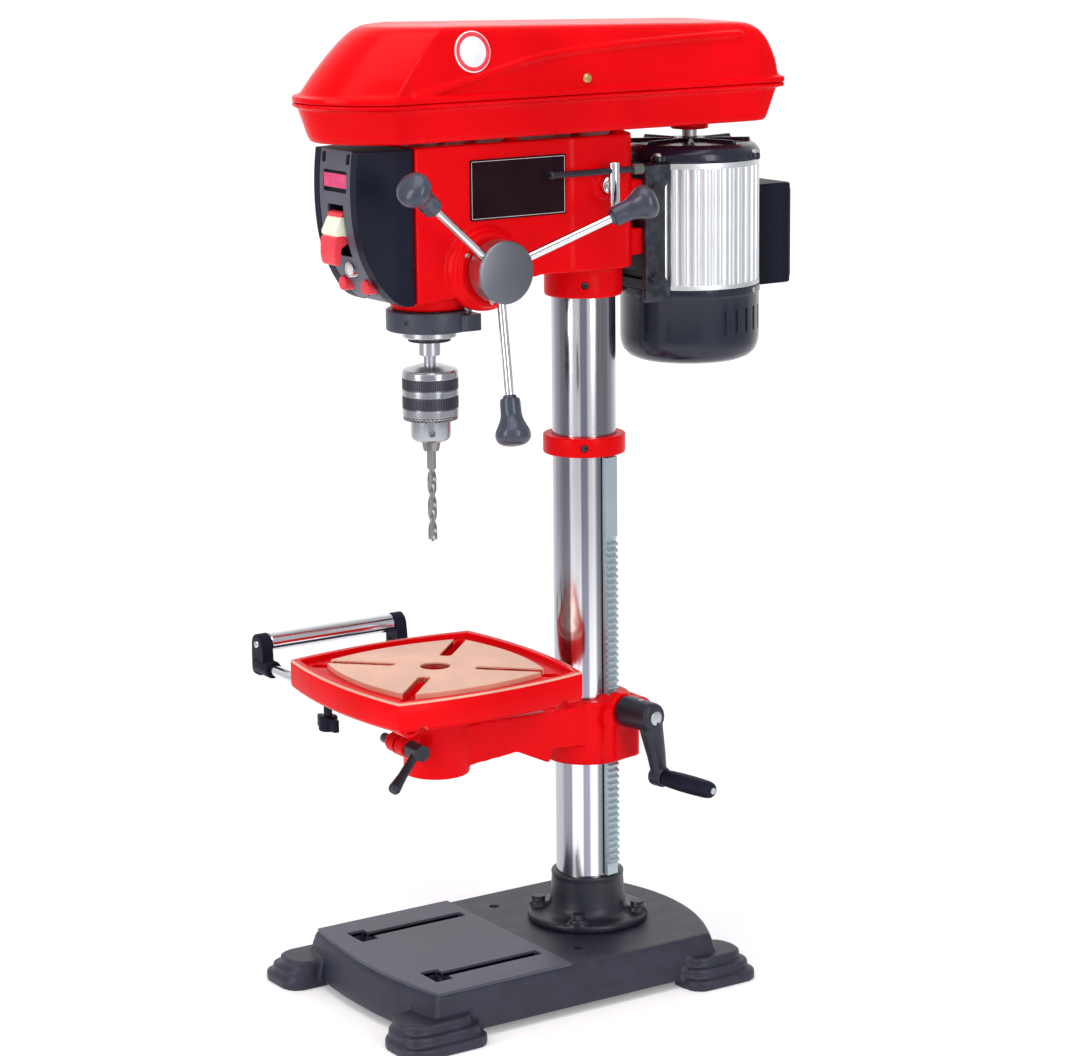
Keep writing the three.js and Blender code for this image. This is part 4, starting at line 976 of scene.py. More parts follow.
# %% Wing knobs
for label, y in RODS.items():
    stud = plain_bore(4, 262, 284.2, (-70, y))
    body = spun(profile_eased([(0, 254), (9, 254), (9, 268), (0, 269)], 1.6), (-70, y))
    wings = slab(eased([(-87, y - 2.6), (-79, y - 3.4), (-70, y - 4.4), (-61, y - 3.4), (-53, y - 2.6),
                        (-53, y + 2.6), (-61, y + 3.4), (-70, y + 4.4), (-79, y + 3.4), (-87, y + 2.6)], 2),
                 255, 266.5)
    knob = gathered(cast(gathered(body, wings), 0.6, 4), stud)
    settle(f"roller_lock_{label}_knob", knob, black_plastic, f"roller_lock_{label}",
           [f"roller_lock_{label}"])
print("two wing knobs")

# %% [markdown]
# ## The head casting
# The head is the biggest casting: a box whose underside steps up towards the column, rounded behind,
# with bosses for the column, the quill, the feed shaft and the belt-tension bolt. The box is the common
# part of a side drawing and a plan drawing. Casting it melts all the bosses together with small fillets.

# %% Cast the head
HEAD_TOP = 801.0
FEED, TENSION, DEPTH_ROD = (-137, 690), (-6, 757), (31, -148)


def tail_curve():
    angles = [math.pi * i / 24 for i in range(25)]
    return [(44 * math.cos(a), 14 + 27 * math.sin(a)) for a in angles]


plan = [(-45, -207), (45, -207), (45, -44), (46.5, -40), *tail_curve(), (-46.5, -40), (-45, -44)]
side = [(-207, 662), (-156, 667), (-75, 679), (60, 677), (60, HEAD_TOP), (-207, HEAD_TOP)]
body = worked("INTERSECT", slab(side, -60, 60, "X"), slab(plan, 600, 900))
column_boss = spun([(0, 650.4), (35.4, 650.4), (36.5, 651.6), (36.5, 690), (0, 690)])
quill_boss = spun([(0, 652.7), (33.6, 652.7), (35, 655), (36, 690), (0, 690)], SPINDLE)
feed_boss = spun([(0, 38), (38.5, 38), (38.2, 48), (36.8, 50.5), (34.4, 51.5), (33.6, 56.4), (32.6, 57.5),
                  (0, 57.5)], FEED, "X", 96)
tension_boss = spun([(0, 38), (13.4, 38), (12, 49), (11.2, 50), (0, 50)], TENSION, "X")
risers = [plain_bore(6, 795, 805.7, (x, y)) for x in (-34, 34) for y in (-100, 16)]
pads = [block((-35.5, 20, z - 12), (35.5, 44, z + 12)) for z in (700, 745)]
head_skin = cast(gathered(body, column_boss, quill_boss, feed_boss, tension_boss, *risers, *pads), 1.6, 5)
head_cuts = [
    plain_bore(30.2, 600, 747, steps=128), plain_bore(24.9, 600, 775, SPINDLE, steps=96),
    plain_bore(19, 770, 820, SPINDLE), plain_bore(11.8, -30, 30, FEED, "X"),
    plain_bore(8.3, 20, 70, FEED, "X"), plain_bore(3.4, 600, 760, DEPTH_ROD),
    plain_bore(6.3, 30, 60, TENSION, "X"), plain_bore(6.3, 784.7, 820, IDLER),
    moved(plain_bore(3.6, 30, 50, (0, 663), "X"), turn=-31.5)]
settle("head_casting_skin", drilled(head_skin, *head_cuts), red_casting, "frame",
       ["head_casting"])

# %% Screws in the head
head_screw = moved(socket_screw((33.5, 0, 663), (1, 0, 0), 3.2, 2.6, 1.5), turn=-31.5)
settle("head_set_screw", head_screw, black_iron, "frame")
feed_screws = []
for quarter in range(3):
    a = math.radians(30 + 120 * quarter)
    feed_screws.append(cross_screw((57.2, -137 + 29.2 * math.cos(a), 690 + 29.2 * math.sin(a)), (1, 0, 0),
                                   2.2, 1.0))
settle("feed_boss_screws", gathered(*feed_screws), zinc, "frame")
print("feed boss faces the operator's right")

# %% [markdown]
# ## The blank data plate
# A thin plate with a lighter printed frame is glued to the casting. It stays blank. The frame is a
# plate with its middle cut out, standing a tenth of a millimetre proud, so it needs no image.

# %% Data plate
plate_face = slab(panel(-151, -49, 733, 787, 1.5), 44.7, 46.1, "X")
settle("data_plate_face", plate_face, plate_black, "frame", ["data_plate"], edge=0.25)
frame_out = slab(panel(-149.6, -50.4, 734.4, 785.6, 1.2), 45.6, 46.22, "X")
frame_in = slab(panel(-149.2, -50.8, 734.8, 785.2, 1.0), 45, 47, "X")
settle("data_plate_border", carved(frame_out, frame_in), plate_ink, "frame")
print("blank plate", 102, "by", 54, "mm")

# %% [markdown]
# ## The switch housing
# Two black shells wrap a lighter curved front panel that carries the display window, the big safety switch
# and three buttons. The body is again a side drawing crossed with a plan drawing. The front panel is a
# narrower copy of the same side curve standing slightly proud, cut away where the switch sits.

# %% Housing and front panel
FRONT_CURVE = [(-219, 662), (-230, 667), (-243, 683), (-253, 702), (-260, 724), (-263, 753), (-262.5, 780),
               (-260, 800)]


def curve_smooth(points, rounds=3):
    """Cut every corner again and again until a rough line is a smooth one."""
    for _ in range(rounds):
        finer = [points[0]]
        for a, b in zip(points, points[1:]):
            a, b = Vector(a), Vector(b)
            finer += [tuple(a * 0.75 + b * 0.25), tuple(a * 0.25 + b * 0.75)]
        points = [*finer, points[-1]]
    return points


front_line = curve_smooth(FRONT_CURVE)
housing_side = slab([(-207.4, 662), *front_line, (-207.4, 800)], -60, 60, "X")
housing_plan = slab(eased([(-45, -207.4), (-44.6, -228), (-38, -258), (-33, -290), (33, -290), (38, -258),
                           (44.6, -228), (45, -207.4)], 6), 600, 900)
housing = worked("INTERSECT", housing_side, housing_plan)
switch_well = block((-13.5, -280, 706), (13.5, -240, 752))
LIGHT, START, STOP = (4, 694), (-19, 679), (20, 679)


def button_wells():
    return [plain_bore(radius, -290, -226, centre, "Y")
            for centre, radius in ((LIGHT, 7.2), (START, 6.8), (STOP, 6.8))]


panel_room = slab([(-205, 660), *[(y + 2.4, z) for y, z in front_line], (-205, 802)], -60, 60, "X")
panel_band = block((-27, -290, 655), (27, -200, 810))
front_strip = worked("DIFFERENCE", panel_band, panel_room)
housing_piece = carved(housing, front_strip, switch_well, *button_wells())
settle("switch_housing", housing_piece, black_plastic, "frame", ["switch_box"], edge=0.9)

strip_out = slab([(-205, 664), *[(y - 0.1, z) for y, z in front_line if z > 664], (-205, 799.4)], -26.6,
                 26.6, "X")
strip_in = slab([(-200, 655), *[(y + 2.5, z) for y, z in front_line], (-200, 810)], -60, 60, "X")
panel_cuts = [slab(panel(-20, 20, 763, 782, 1.5), -275, -250, "Y"),
              slab(panel(-13.5, 13.5, 706, 752, 1), -290, -235, "Y")]
panel_cuts += button_wells()
panel_cuts += [slab(panel(x - 3.4, x + 3.4, 788, 797.5, 3), -275, -250, "Y") for x in (-21, 21)]
panel_cuts += [plain_bore(3.2, -275, -222, (0, 671.5), "Y")]
strip = carved(worked("DIFFERENCE", strip_out, strip_in), *panel_cuts)
settle("switch_front_panel", strip, panel_plastic, "frame", edge=0.45)
print("front line has", len(front_line), "points")

# %% Window, wells and the screws that hold the panel
window = slab(panel(-19.6, 19.6, 766.8, 779.2, 1.2), -262.3, -258.6, "Y")
settle("display_window_lens", window, window_red, "frame", ["display_window"],
       edge=0.3)
# Painted shade: a dark matte sheet on the floor of the switch well, duller than the housing round it.
well_floor = slab(panel(-13.4, 13.4, 706.2, 751.8, 0.8), -241, -239.5, "Y")
settle("switch_well_floor", well_floor, well_shade_finish, "frame")
panel_screws = [cross_screw((x, -258.2, z), (0, -1, 0), 2.7, 1.2) for x, z in ((-21, 792.6), (21, 792.6))]
panel_screws.append(cross_screw((0, -232.5, 671.5), (0, -1, -0.6), 2.7, 1.2))
settle("switch_panel_screws", gathered(*panel_screws), black_iron, "frame")
print("window and screws placed")

# %% [markdown]
# ## Safety paddle and buttons
# The switch is a cream rocker under a red flap that is slapped to stop the machine. Both parts are side
# drawings pushed sideways with eased edges, and each button is a turned cap. The light button wears a
# chrome ring, and every button rides on its own sprung body.

# %% Paddle, rocker and caps
flap = slab(eased([(-253, 723), (-262, 725.4), (-269, 725), (-271.6, 722), (-272, 708), (-270, 699.6),
                   (-266, 698.4), (-264.5, 705), (-264, 714), (-257, 718)], 2.0), -12.4, 12.4, "X")
settle("stop_flap", flap, red_plastic, "paddle", ["switch_paddle"], edge=1.0, steps=3)
rocker = slab(eased([(-244, 744), (-258, 744), (-264.6, 741), (-271, 728), (-268.6, 724), (-258, 722),
                     (-244, 722)], 2), -12, 12, "X")
settle("switch_rocker", rocker, cream_plastic, "paddle", edge=0.8)
top_bar = slab(eased([(-255, 745.2), (-258, 746.4), (-262.8, 745), (-264.8, 741.6), (-255, 740.6)], 1.4),
               -12.3, 12.3, "X")
settle("switch_flap_hinge", top_bar, red_plastic, "paddle", edge=0.6)


def button(label, centre, radius, front, finish):
    cap = spun(profile_eased([(0, front + 0.3), (radius * 0.55, front), (radius, front + 0.5),
                              (radius, -231), (0, -231)], 1.3), centre, "Y", 64)
    settle(f"{label}_button_cap", cap, finish, f"{label}_button", [f"{label}_button"])


button("light", LIGHT, 5.6, -252.6, white_plastic)
button("start", START, 6.4, -247, red_plastic)
button("stop", STOP, 6.4, -247, red_plastic)
bezel_line = profile_eased([(5.8, -233), (5.8, -252.6), (6.9, -252.6), (6.9, -233), (5.8, -233)], 0.4)
settle("light_button_ring", spun([*bezel_line[:-1], bezel_line[0]], LIGHT, "Y", 64), chrome,
       "light_button")
print("paddle and three buttons")

# %% [markdown]
# ## Quill, depth ring and spindle nose
# The quill is a turned sleeve that comes down out of the head with the spindle inside it. A grey ring
# clamped round it carries the depth rod. These are pure lathe work, so their profiles are drawn point by
# point, with the narrow grooves that make turned parts look turned.

# %% Turn the quill and the ring
quill_line = [(10, 626), (23.6, 626), (24.6, 627), (24.6, 748), (10, 748), (10, 626)]
rack_flat_cut = block((-9.5, -148.8, 655), (9.5, -138, 760))
settle("quill_sleeve", carved(spun(quill_line, SPINDLE, steps=96), rack_flat_cut), turned_steel, "quill",
       ["quill"], edge=0.3)
settle("quill_bearing_nut", ring(10.2, 19.5, 622.4, 626.1, 0.6, SPINDLE), black_iron, "quill")
depth_ring = ring(24.9, 39, 633, 652, 1.6, SPINDLE, 112)
ear = slab(panel(17, 42, -158, -137, 5), 634, 649)
ring_piece = carved(worked("UNION", depth_ring, ear), plain_bore(24.9, 600, 700, SPINDLE),
                    plain_bore(3.2, 640, 660, DEPTH_ROD))
settle("depth_ring", ring_piece, ring_plastic, "quill", ["depth_collar"], edge=0.5)
depth_screw = round_axis(cross_screw((39, 0, 643), (1, 0, 0), 2.4, 1.0), -62, SPINDLE)
settle("depth_ring_screw", depth_screw, black_iron, "quill")
threads = [(0, 640.4), (2.6, 640.4)]
for turn in range(46):
    z = 641 + turn * 2.0
    threads += [(2.5, z), (2.9, z + 0.5), (2.9, z + 1.0), (2.5, z + 1.5)]
settle("depth_rod_thread", spun([*threads, (2.6, 734.6), (0, 735)], DEPTH_ROD, steps=24), zinc, "quill",
       ["depth_rod"])
print("depth ring at", 633, "to", 652, "mm")

# %% [markdown]
# ## The chuck
# A keyed chuck has a smooth body, a band of crown-gear teeth where the key bites, and a sleeve with three
# key holes. The teeth are one small wedge repeated round the axis. Bands of fine upright knurling are
# cut as one outline with many shallow notches, pushed to a height.

# %% Chuck body and sleeve
def knurled(radius, depth, count, low, high, centre):
    """A disc with a fine notched edge."""
    outline = []
    for i in range(count):
        for f, r in ((0.0, radius), (0.45, radius), (0.6, radius - depth), (0.85, radius - depth)):
            a = math.tau * (i + f) / count
            outline.append((centre[0] + r * math.cos(a), centre[1] + r * math.sin(a)))
    return slab(outline, low, high)


chuck_line = [(0, 553.6), (24.2, 553.6), (25.4, 554.8), (25.6, 561), (24.9, 561.6), (24.9, 572.4),
              (25.6, 573), (25.6, 578.4), (24.9, 579), (24.9, 588.6), (25.6, 589.2), (25.4, 594.6),
              (24.0, 596.6), (14, 599.4), (12, 600.3), (0, 600.3)]
chuck_body = carved(spun(chuck_line, SPINDLE, steps=112), plain_bore(10.3, 540, 580, SPINDLE))
settle("chuck_turned_body", chuck_body, chuck_steel, "spindle", ["chuck_body"], edge=0.25)
for label, low in (("upper", 579.3), ("lower", 561.9)):
    band = knurled(25.6, 0.55, 90, low, low + (9.2 if label == "upper" else 10.2), SPINDLE)
    band = carved(band, plain_bore(24.6, 550, 600, SPINDLE, steps=96))
    settle(f"chuck_{label}_knurled_band", band, knurl_steel, "spindle")

sleeve_line = [(10.3, 531), (14.6, 531), (17.0, 532.8), (18.2, 536), (18.2, 551.6), (24.6, 552.6),
               (24.8, 553.7), (10.3, 553.7), (10.3, 531)]
key_holes = [round_axis(plain_bore(3, 12, 24, (0, 540), "X"), 120 * k - 28.6, SPINDLE) for k in range(3)]
sleeve_piece = carved(spun(sleeve_line, SPINDLE, steps=112), *key_holes)
settle("chuck_key_sleeve", sleeve_piece, chuck_steel, "spindle", ["chuck_sleeve"], edge=0.2)
crown = []
for tooth in range(40):
    wedge = lofted([[(17.8, -0.75, 552.6), (17.8, 0.75, 552.6), (25.0, 1.0, 553.6), (25.0, -1.0, 553.6)],
                    [(17.8, -0.35, 549.4), (17.8, 0.35, 549.4), (24.8, 0.5, 550.8), (24.8, -0.5, 550.8)]])
    crown.append(round_axis(wedge, 9 * tooth, SPINDLE))
settle("chuck_crown_teeth", gathered(*crown), drill_steel, "spindle")
print("40 crown teeth, 3 key holes")

# %% Jaws, spindle nose and twist drill
jaws = []
for k in range(3):
    jaw_side = [(1.4, 522), (4.4, 520.8), (6.4, 521.4), (8.4, 530), (9.9, 545), (9.9, 566), (1.4, 566)]
    jaw = slab(jaw_side, -3.1, 3.1, "Y")
    jaws.append(round_axis(jaw, 120 * k + 31, SPINDLE))
jaw_set = gathered(*jaws)
jaw_set = worked("INTERSECT", cast(jaw_set, 0.4, 1), plain_bore(9.9, 520, 567, SPINDLE, steps=96))
settle("chuck_three_jaws", jaw_set, drill_steel, "spindle", ["chuck_jaws"])

nose = spun([(0, 597), (5.4, 597), (5.7, 609), (9.7, 609.5), (9.7, 800), (8, 801), (8, 864), (7, 865),
             (0, 865)], SPINDLE)
settle("spindle_shaft", nose, turned_steel, "spindle", ["spindle"], edge=0.2)

DRILL_LOW, DRILL_HIGH, DRILL_R = 439.0, 506.0, 4.15


def flute_section(radius, sides=9):
    """Half of a drill's cross-section is a land and a scooped flute, and the other half repeats it."""
    ring = []
    for half in range(2):
        for i in range(sides):
            a = math.pi * (i / sides)
            scoop = max(0.0, math.sin(math.pi * min(1.0, max(0.0, (a / math.pi - 0.32) / 0.62))))
            r = radius * (1 - 0.52 * scoop ** 0.8)
            ring.append((SPINDLE[0] + r * math.cos(a + math.pi * half),
                         SPINDLE[1] + r * math.sin(a + math.pi * half)))
    return ring


drill_bm = bmesh.new()
face = drill_bm.faces.new([drill_bm.verts.new((x, y, DRILL_LOW)) for x, y in flute_section(DRILL_R, 14)])
bmesh.ops.spin(drill_bm, geom=[face, *face.edges, *face.verts], cent=(*SPINDLE, 0), axis=(0, 0, 1),
               dvec=(0, 0, (DRILL_HIGH - DRILL_LOW) / 90), angle=math.radians(360 * 1.4), steps=90,
               use_merge=False)
bmesh.ops.edgenet_fill(drill_bm, edges=[e for e in drill_bm.edges if len(e.link_faces) == 1])
shank = spun([(0, 504), (3.6, 504.2), (DRILL_R, 506), (DRILL_R, 560), (0, 560)], SPINDLE, steps=48)
core = spun([(0, 436.6), (1.5, 437.6), (1.5, 508), (0, 508)], SPINDLE, steps=24)
settle("twist_drill_fluted", gathered(tidy(drill_bm), shank, core), drill_steel, "spindle",
       ["twist_drill"])
print("drill", 2 * DRILL_R, "mm")

# %% [markdown]
# ## The feed handle
# Three spokes lean out of a steel hub with a grey cap and end in bell-shaped grips. The hub and grips are
# turned, the spokes are bars between two points, and one function turns a spoke number and a distance
# into a place, so the three always match the rough model.

# %% Hub, spokes and grips
def feed_point(spoke, radius):
    a = math.radians(143.7 - 120 * spoke)
    return Vector((69 + radius / 130 * 41, FEED[0] + radius * math.cos(a), FEED[1] + radius * math.sin(a)))


def along_spoke(piece, spoke):
    axis = (feed_point(spoke, 130) - feed_point(spoke, 0)).normalized()
    return stood(piece, feed_point(spoke, 130), axis)


hub_line = [(0, 58), (24, 58), (25, 58.6), (25, 63), (26, 63.6), (27.6, 64), (28, 65), (28, 81.2),
            (0, 81.4)]
hub_body = carved(spun(hub_line, FEED, "X", 112),
                  *[rod([feed_point(k, 10), feed_point(k, 60)], 4.2) for k in range(3)])
settle("feed_hub_turned", hub_body, turned_steel, "feed", ["feed_hub"], edge=0.2)
feed_shaft = gathered(plain_bore(8, 0, 59, FEED, "X"), plain_bore(11.4, -9, 9, FEED, "X"))
settle("feed_shaft_pinion", feed_shaft, turned_steel, "feed", edge=0.2)
hub_cap = spun([(0, 81.2), (28, 81.2), (28.2, 82), (27.4, 83), (25.8, 83.4), (0, 83.6)], FEED, "X", 112)
settle("feed_hub_cap", hub_cap, hub_steel, "feed")

bell = [(0, -22), (8.0, -22), (9.0, -21), (9.3, -13), (9.4, -7.5), (10.4, -3), (13.0, 2.5), (15.4, 7),
        (16.0, 11), (15.2, 15), (12.4, 18.2), (7.5, 20.2), (0, 21)]
for k in range(3):
    spoke = rod([feed_point(k, 13), feed_point(k, 122)], 4.0, 36)
    settle(f"feed_spoke_{k + 1}", spoke, chrome, "feed", [f"feed_arm_{k + 1}"])
    grip_piece = along_spoke(spun(curve_smooth(bell, 1), steps=72), k)
    settle(f"feed_grip_{k + 1}", grip_piece, knob_plastic, "feed", [f"feed_knob_{k + 1}"])
    collar_piece = along_spoke(spun([(4.2, -24.6), (5.6, -24.6), (6.2, -23.8), (6.2, -21.6), (4.2, -21.6),
                                     (4.2, -24.6)], steps=48), k)
    settle(f"feed_grip_ferrule_{k + 1}", collar_piece, black_iron, "feed")
print("three spokes at", [tuple(round(v) for v in feed_point(k, 130)) for k in range(3)])

# %% [markdown]
# ## Belt tension lock
# A short bolt through the head's side clamps the sliding motor bracket. Its cross bar slides through a
# turned post like the handle of a vise, with a small bead at one end and a dark tip at the other.

# %% Tension bolt and sliding bar
SLIDE_BAR = (60, 770)
post = stub(5.5, 737, 778, 1.2, (60, -6))
shank = plain_bore(6, 31, 58, TENSION, "X")
shoulder = stub(9, 50.5, 56.5, 0.8, TENSION, "X")
bolt_body = carved(worked("UNION", post, shank, shoulder), plain_bore(3.3, -20, 10, SLIDE_BAR, "Y"))
settle("tension_bolt_turned", bolt_body, chrome, "tension_bolt", ["tension_bolt"], edge=0.25)
bar_line = [(0, -76), (3.0, -76), (3.6, -75), (3.6, -72.6), (3.2, -71.4), (3, -71), (3, 17), (3.4, 17.4),
            (4.4, 19), (4.4, 24), (3.2, 25), (0, 25)]
settle("tension_slide_bar", spun(bar_line, SLIDE_BAR, "Y", 40), black_iron, "tension_bar",
       ["tension_bar"])
tip = spun(profile_eased([(0, 14.6), (4.2, 14.6), (4.9, 17), (4.9, 25.4), (0, 25.6)], 1.2), SLIDE_BAR, "Y",
           40)
settle("tension_bar_tip", tip, tip_grey_green, "tension_bar")
print("bar slides in a", 6.6, "mm hole")

# %% [markdown]
# ## Belt pan and cover
# The drive is housed in a drawn pan with a hinged cover. Their outline is a rectangle with a blunt nose,
# and the cover shrinks upward with soft shoulders and falls a little towards the rear. Outlines are
# bridged level by level, softened by `cast`, then hollowed.

# %% Outline of the drive housing
PAN_LOW, SPLIT, HINGE_X = 806.0, 841.0, -79.0


def cover_outline(half, front, rear, nose, height, fall=0.0, steps=30):
    run = [-1 + 2 * i / steps for i in range(steps + 1)]
    ring = [(half * t, front - nose * (1 - abs(t) ** 2.2)) for t in run]
    tail = [(half, rear - 18), (half - 2.4, rear - 7), (half - 7, rear - 2.4), (half - 18, rear)]
    ring += tail + [(-x, y) for x, y in reversed(tail)]
    return [(x, y, height - fall * min(1.0, max(0.0, (y + 184) / 340))) for x, y in ring]


def hinge_ear(z, y0, y1):
    return gathered(plain_bore(6, y0, y1, (HINGE_X, SPLIT), "Y"),
                    block((HINGE_X, y0, z), (-66, y1, z + 3.6)))


pan_levels = [(60.6, -231.6, 170.6, 46, 806), (62.2, -233.4, 172.4, 46, 808), (63, -234.6, 174, 47, 812),
              (67, -240, 181, 50, 836), (67.4, -240.4, 181.4, 50, 836.6), (71.6, -243.6, 186.6, 50, 837.2),
              (72, -244, 187, 50, 838), (72, -244, 187, 50, 841)]
pan_outer = lofted([cover_outline(*level) for level in pan_levels])
pan_skin = cast(gathered(pan_outer, spun([(0, 797), (18, 797), (18, 808), (0, 808)], MOTOR)), 1.5, 3)
pan_inner = lofted([cover_outline(*level)
                    for level in ((59, -230, 169, 46, 808.5), (64, -237, 178, 50, 845))])
pan_cuts = [plain_bore(20, 790, 815, SPINDLE), plain_bore(9.5, 790, 815, MOTOR),
            plain_bore(6.3, 790, 815, IDLER)]
settle("belt_pan_drawn", drilled(pan_skin, pan_inner, *pan_cuts), red_cover, "frame",
       ["belt_pan"])
ears = [hinge_ear(837, y0, y1) for y0, y1 in ((-150, -120.4), (80.4, 110))]
settle("belt_pan_hinge_ears", gathered(*ears), red_cover, "frame", edge=0.5)
print("pan", PAN_LOW, "to", SPLIT)

# %% Cover with its soft shoulders
hood_levels = [
    (72, -244, 187, 50, 841.3, 0), (72, -244, 187, 50, 846, 0), (71.4, -243.4, 186.4, 50, 846.8, 0),
    (67.8, -239.4, 183.4, 49, 847.4, 0), (67.4, -238, 182.8, 49, 848.4, 0), (67, -228, 180, 48, 862, 0),
    (66.2, -221, 177.4, 47, 871, 2), (65, -212, 174, 46, 881.5, 4.4), (63.6, -203, 170, 45.6, 890.5, 6.4),
    (61.4, -194.6, 165, 45, 898, 8), (58.6, -188, 160.6, 44.6, 902.4, 9), (55, -182.6, 155.4, 43.6, 905, 9),
    (50, -176, 149, 40, 906, 9)]
CREASE = [(-222, 848), (-190, 853.4), (-160, 860), (-130, 867.5), (-106, 873), (-80, 877.4), (-52, 880),
          (4, 883.6), (61, 886), (138, 887.6)]


def cover_side(z):
    """How far out the cover's side lies at one height."""
    steps = [(848, 67.2), (862, 67.0), (871, 66.2), (881.5, 65.0), (890.5, 63.6), (898, 61.4)]
    for (z0, x0), (z1, x1) in zip(steps, steps[1:]):
        if z <= z1:
            return x0 + (x1 - x0) * (z - z0) / (z1 - z0)
    return 61.4


beads = []
for side in (-1, 1):
    path = [(side * (cover_side(z) + 0.1), y, z) for y, z in curve_smooth(CREASE, 2)]
    beads.append(rod(path, [0.9] + [3.0] * (len(path) - 2) + [0.9], 14))
cover_solid = lofted([cover_outline(*level) for level in hood_levels])
hood_skin = cast(gathered(cover_solid, *beads), 1.5, 4)
hood_inner = lofted([cover_outline(*level)
                     for level in ((64, -236, 180, 48, 835, 0), (64, -225, 177, 46, 862, 0),
                                   (62, -209, 171, 44, 881, 4.8), (57, -189, 161, 43, 897, 8.4),
                                   (50, -180, 151, 41, 902.5, 9))])
hood_cuts = [plain_bore(3.4, 55, 80, (-40, 855), "X")]
settle("belt_cover_drawn", drilled(hood_skin, hood_inner, *hood_cuts), red_cover, "hood",
       ["belt_hood"])
badge = moved(spun([(0, 0), (18.2, 0), (18.2, 0.9), (17.4, 1.3), (0, 1.3)], steps=96), turn=81, about="Y")
badge_ring = moved(spun([(13.6, 1.0), (17.2, 1.0), (17.2, 1.55), (13.6, 1.55), (13.6, 1.0)], steps=96),
                   turn=81, about="Y")
badge_place = (64.2, -158.5, 883.4)
settle("blank_badge_disc", moved(badge, by=badge_place), white_plastic, "hood")
settle("blank_badge_ring", moved(badge_ring, by=badge_place), red_plastic, "hood")
leaf = gathered(plain_bore(6, -119.6, 79.6, (HINGE_X, SPLIT), "Y"),
                block((HINGE_X, -119.6, 842), (-66, 79.6, 846.6)))
settle("belt_cover_hinge_leaf", leaf, red_cover, "hood", edge=0.5)
settle("cover_hinge_pin", plain_bore(3, -149.6, 109.6, (HINGE_X, SPLIT), "Y", 40), zinc, "frame",
       ["hood_hinge_pin"], edge=0.4)
latch_line = [(0, 61.5), (3, 61.5), (3, 67.2), (4.6, 67.4), (4.6, 68.6), (3.4, 69.8), (0, 70.2)]
latch = worked("DIFFERENCE", spun(latch_line, (-40, 855), "X", 48),
               block((69.2, -44.5, 854.5), (73, -35.5, 855.5)))
settle("cover_latch_screw", latch, brass, "hood_latch", ["hood_latch_screw"], edge=0.2)
print("cover top at", 906, "mm")

# %% [markdown]
# ## Pulleys and belts
# Inside the cover three stepped pulleys share two belts. Each pulley is one lathe profile with four vee
# grooves, repeated by a loop. The belts follow two half circles joined by straight runs and have the
# slanting sides of a vee belt.

# %% Stepped pulleys
def pulley_line(radii, bottom=816.0, pitch=13.0, bore=6.5):
    line = [(bore, bottom)]
    for step, radius in enumerate(radii):
        z = bottom + step * pitch
        line += [(radius - 0.6, z), (radius, z + 0.6), (radius, z + 2.6), (radius - 5, z + 4.4),
                 (radius - 5, z + pitch - 4.4), (radius, z + pitch - 2.6), (radius, z + pitch - 0.6),
                 (radius - 0.6, z + pitch)]
    top = bottom + len(radii) * pitch
    return [*line, (bore, top), (bore, bottom)]


spindle_stack = spun(pulley_line([26, 32, 38, 44], bore=8.4), SPINDLE, steps=96)
spindle_hub = spun([(10, 785.3), (15, 785.3), (15, 816.4), (10, 816.4), (10, 785.3)], SPINDLE)
settle("spindle_step_pulley", gathered(spindle_stack, spindle_hub), pulley_alloy, "spindle_pulley",
       ["spindle_pulley"])
settle("idler_step_pulley", spun(pulley_line([34, 40, 34, 28]), IDLER, steps=96), pulley_alloy,
       "idler_pulley", ["idler_pulley"])
motor_stack = spun(pulley_line([44, 38, 32, 26], bore=6.9), MOTOR, steps=96)
settle("motor_step_pulley", gathered(motor_stack, plain_bore(7, 790, 870, MOTOR)), pulley_alloy,
       "motor_pulley", ["motor_pulley"])
settle("idler_post_turned", stub(6, 785, 872, 1.4, IDLER), turned_steel, "frame", ["idler_post"])
print("pulley stacks 52 mm high")

# %% Vee belts
def belt(name, y0, r0, y1, r1, z, node):
    """A vee-section ring swept along two half circles."""
    section = [(-0.2, -1.9), (5.6, -2.3), (6.0, -2.0), (6.0, 2.0), (5.6, 2.3), (-0.2, 1.9)]
    stations = [(y0, r0, -math.pi + math.pi * i / 24) for i in range(25)]
    stations += [(y1, r1, math.pi * i / 24) for i in range(25)]
    piece = bmesh.new()
    rings = []
    for cy, radius, a in stations:
        ring = [piece.verts.new(((radius + u) * math.cos(a), cy + (radius + u) * math.sin(a), z + v))
                for u, v in section]
        rings.append([piece.edges.new((p, q)) for p, q in zip(ring, ring[1:] + ring[:1])])
    for first, second in zip(rings, rings[1:] + rings[:1]):
        bmesh.ops.bridge_loops(piece, edges=first + second)
    settle(name, tidy(piece), belt_rubber, "frame", [node], crease=45)


belt("front_vee_belt", -168, 27.6, -24, 35.6, 835.5, "front_belt")
belt("rear_vee_belt", -24, 29.6, 122, 27.6, 848.5, "rear_belt")
print("two belts")

# %% [markdown]
# ## The motor
# A finned aluminium shell sits between a black fan can below and a black end bell above, with a capacitor
# box on its back. The shell is one notched outline pushed upward. Bolts with hex heads run down the
# corners of the bell, and small slots in the can let air through.

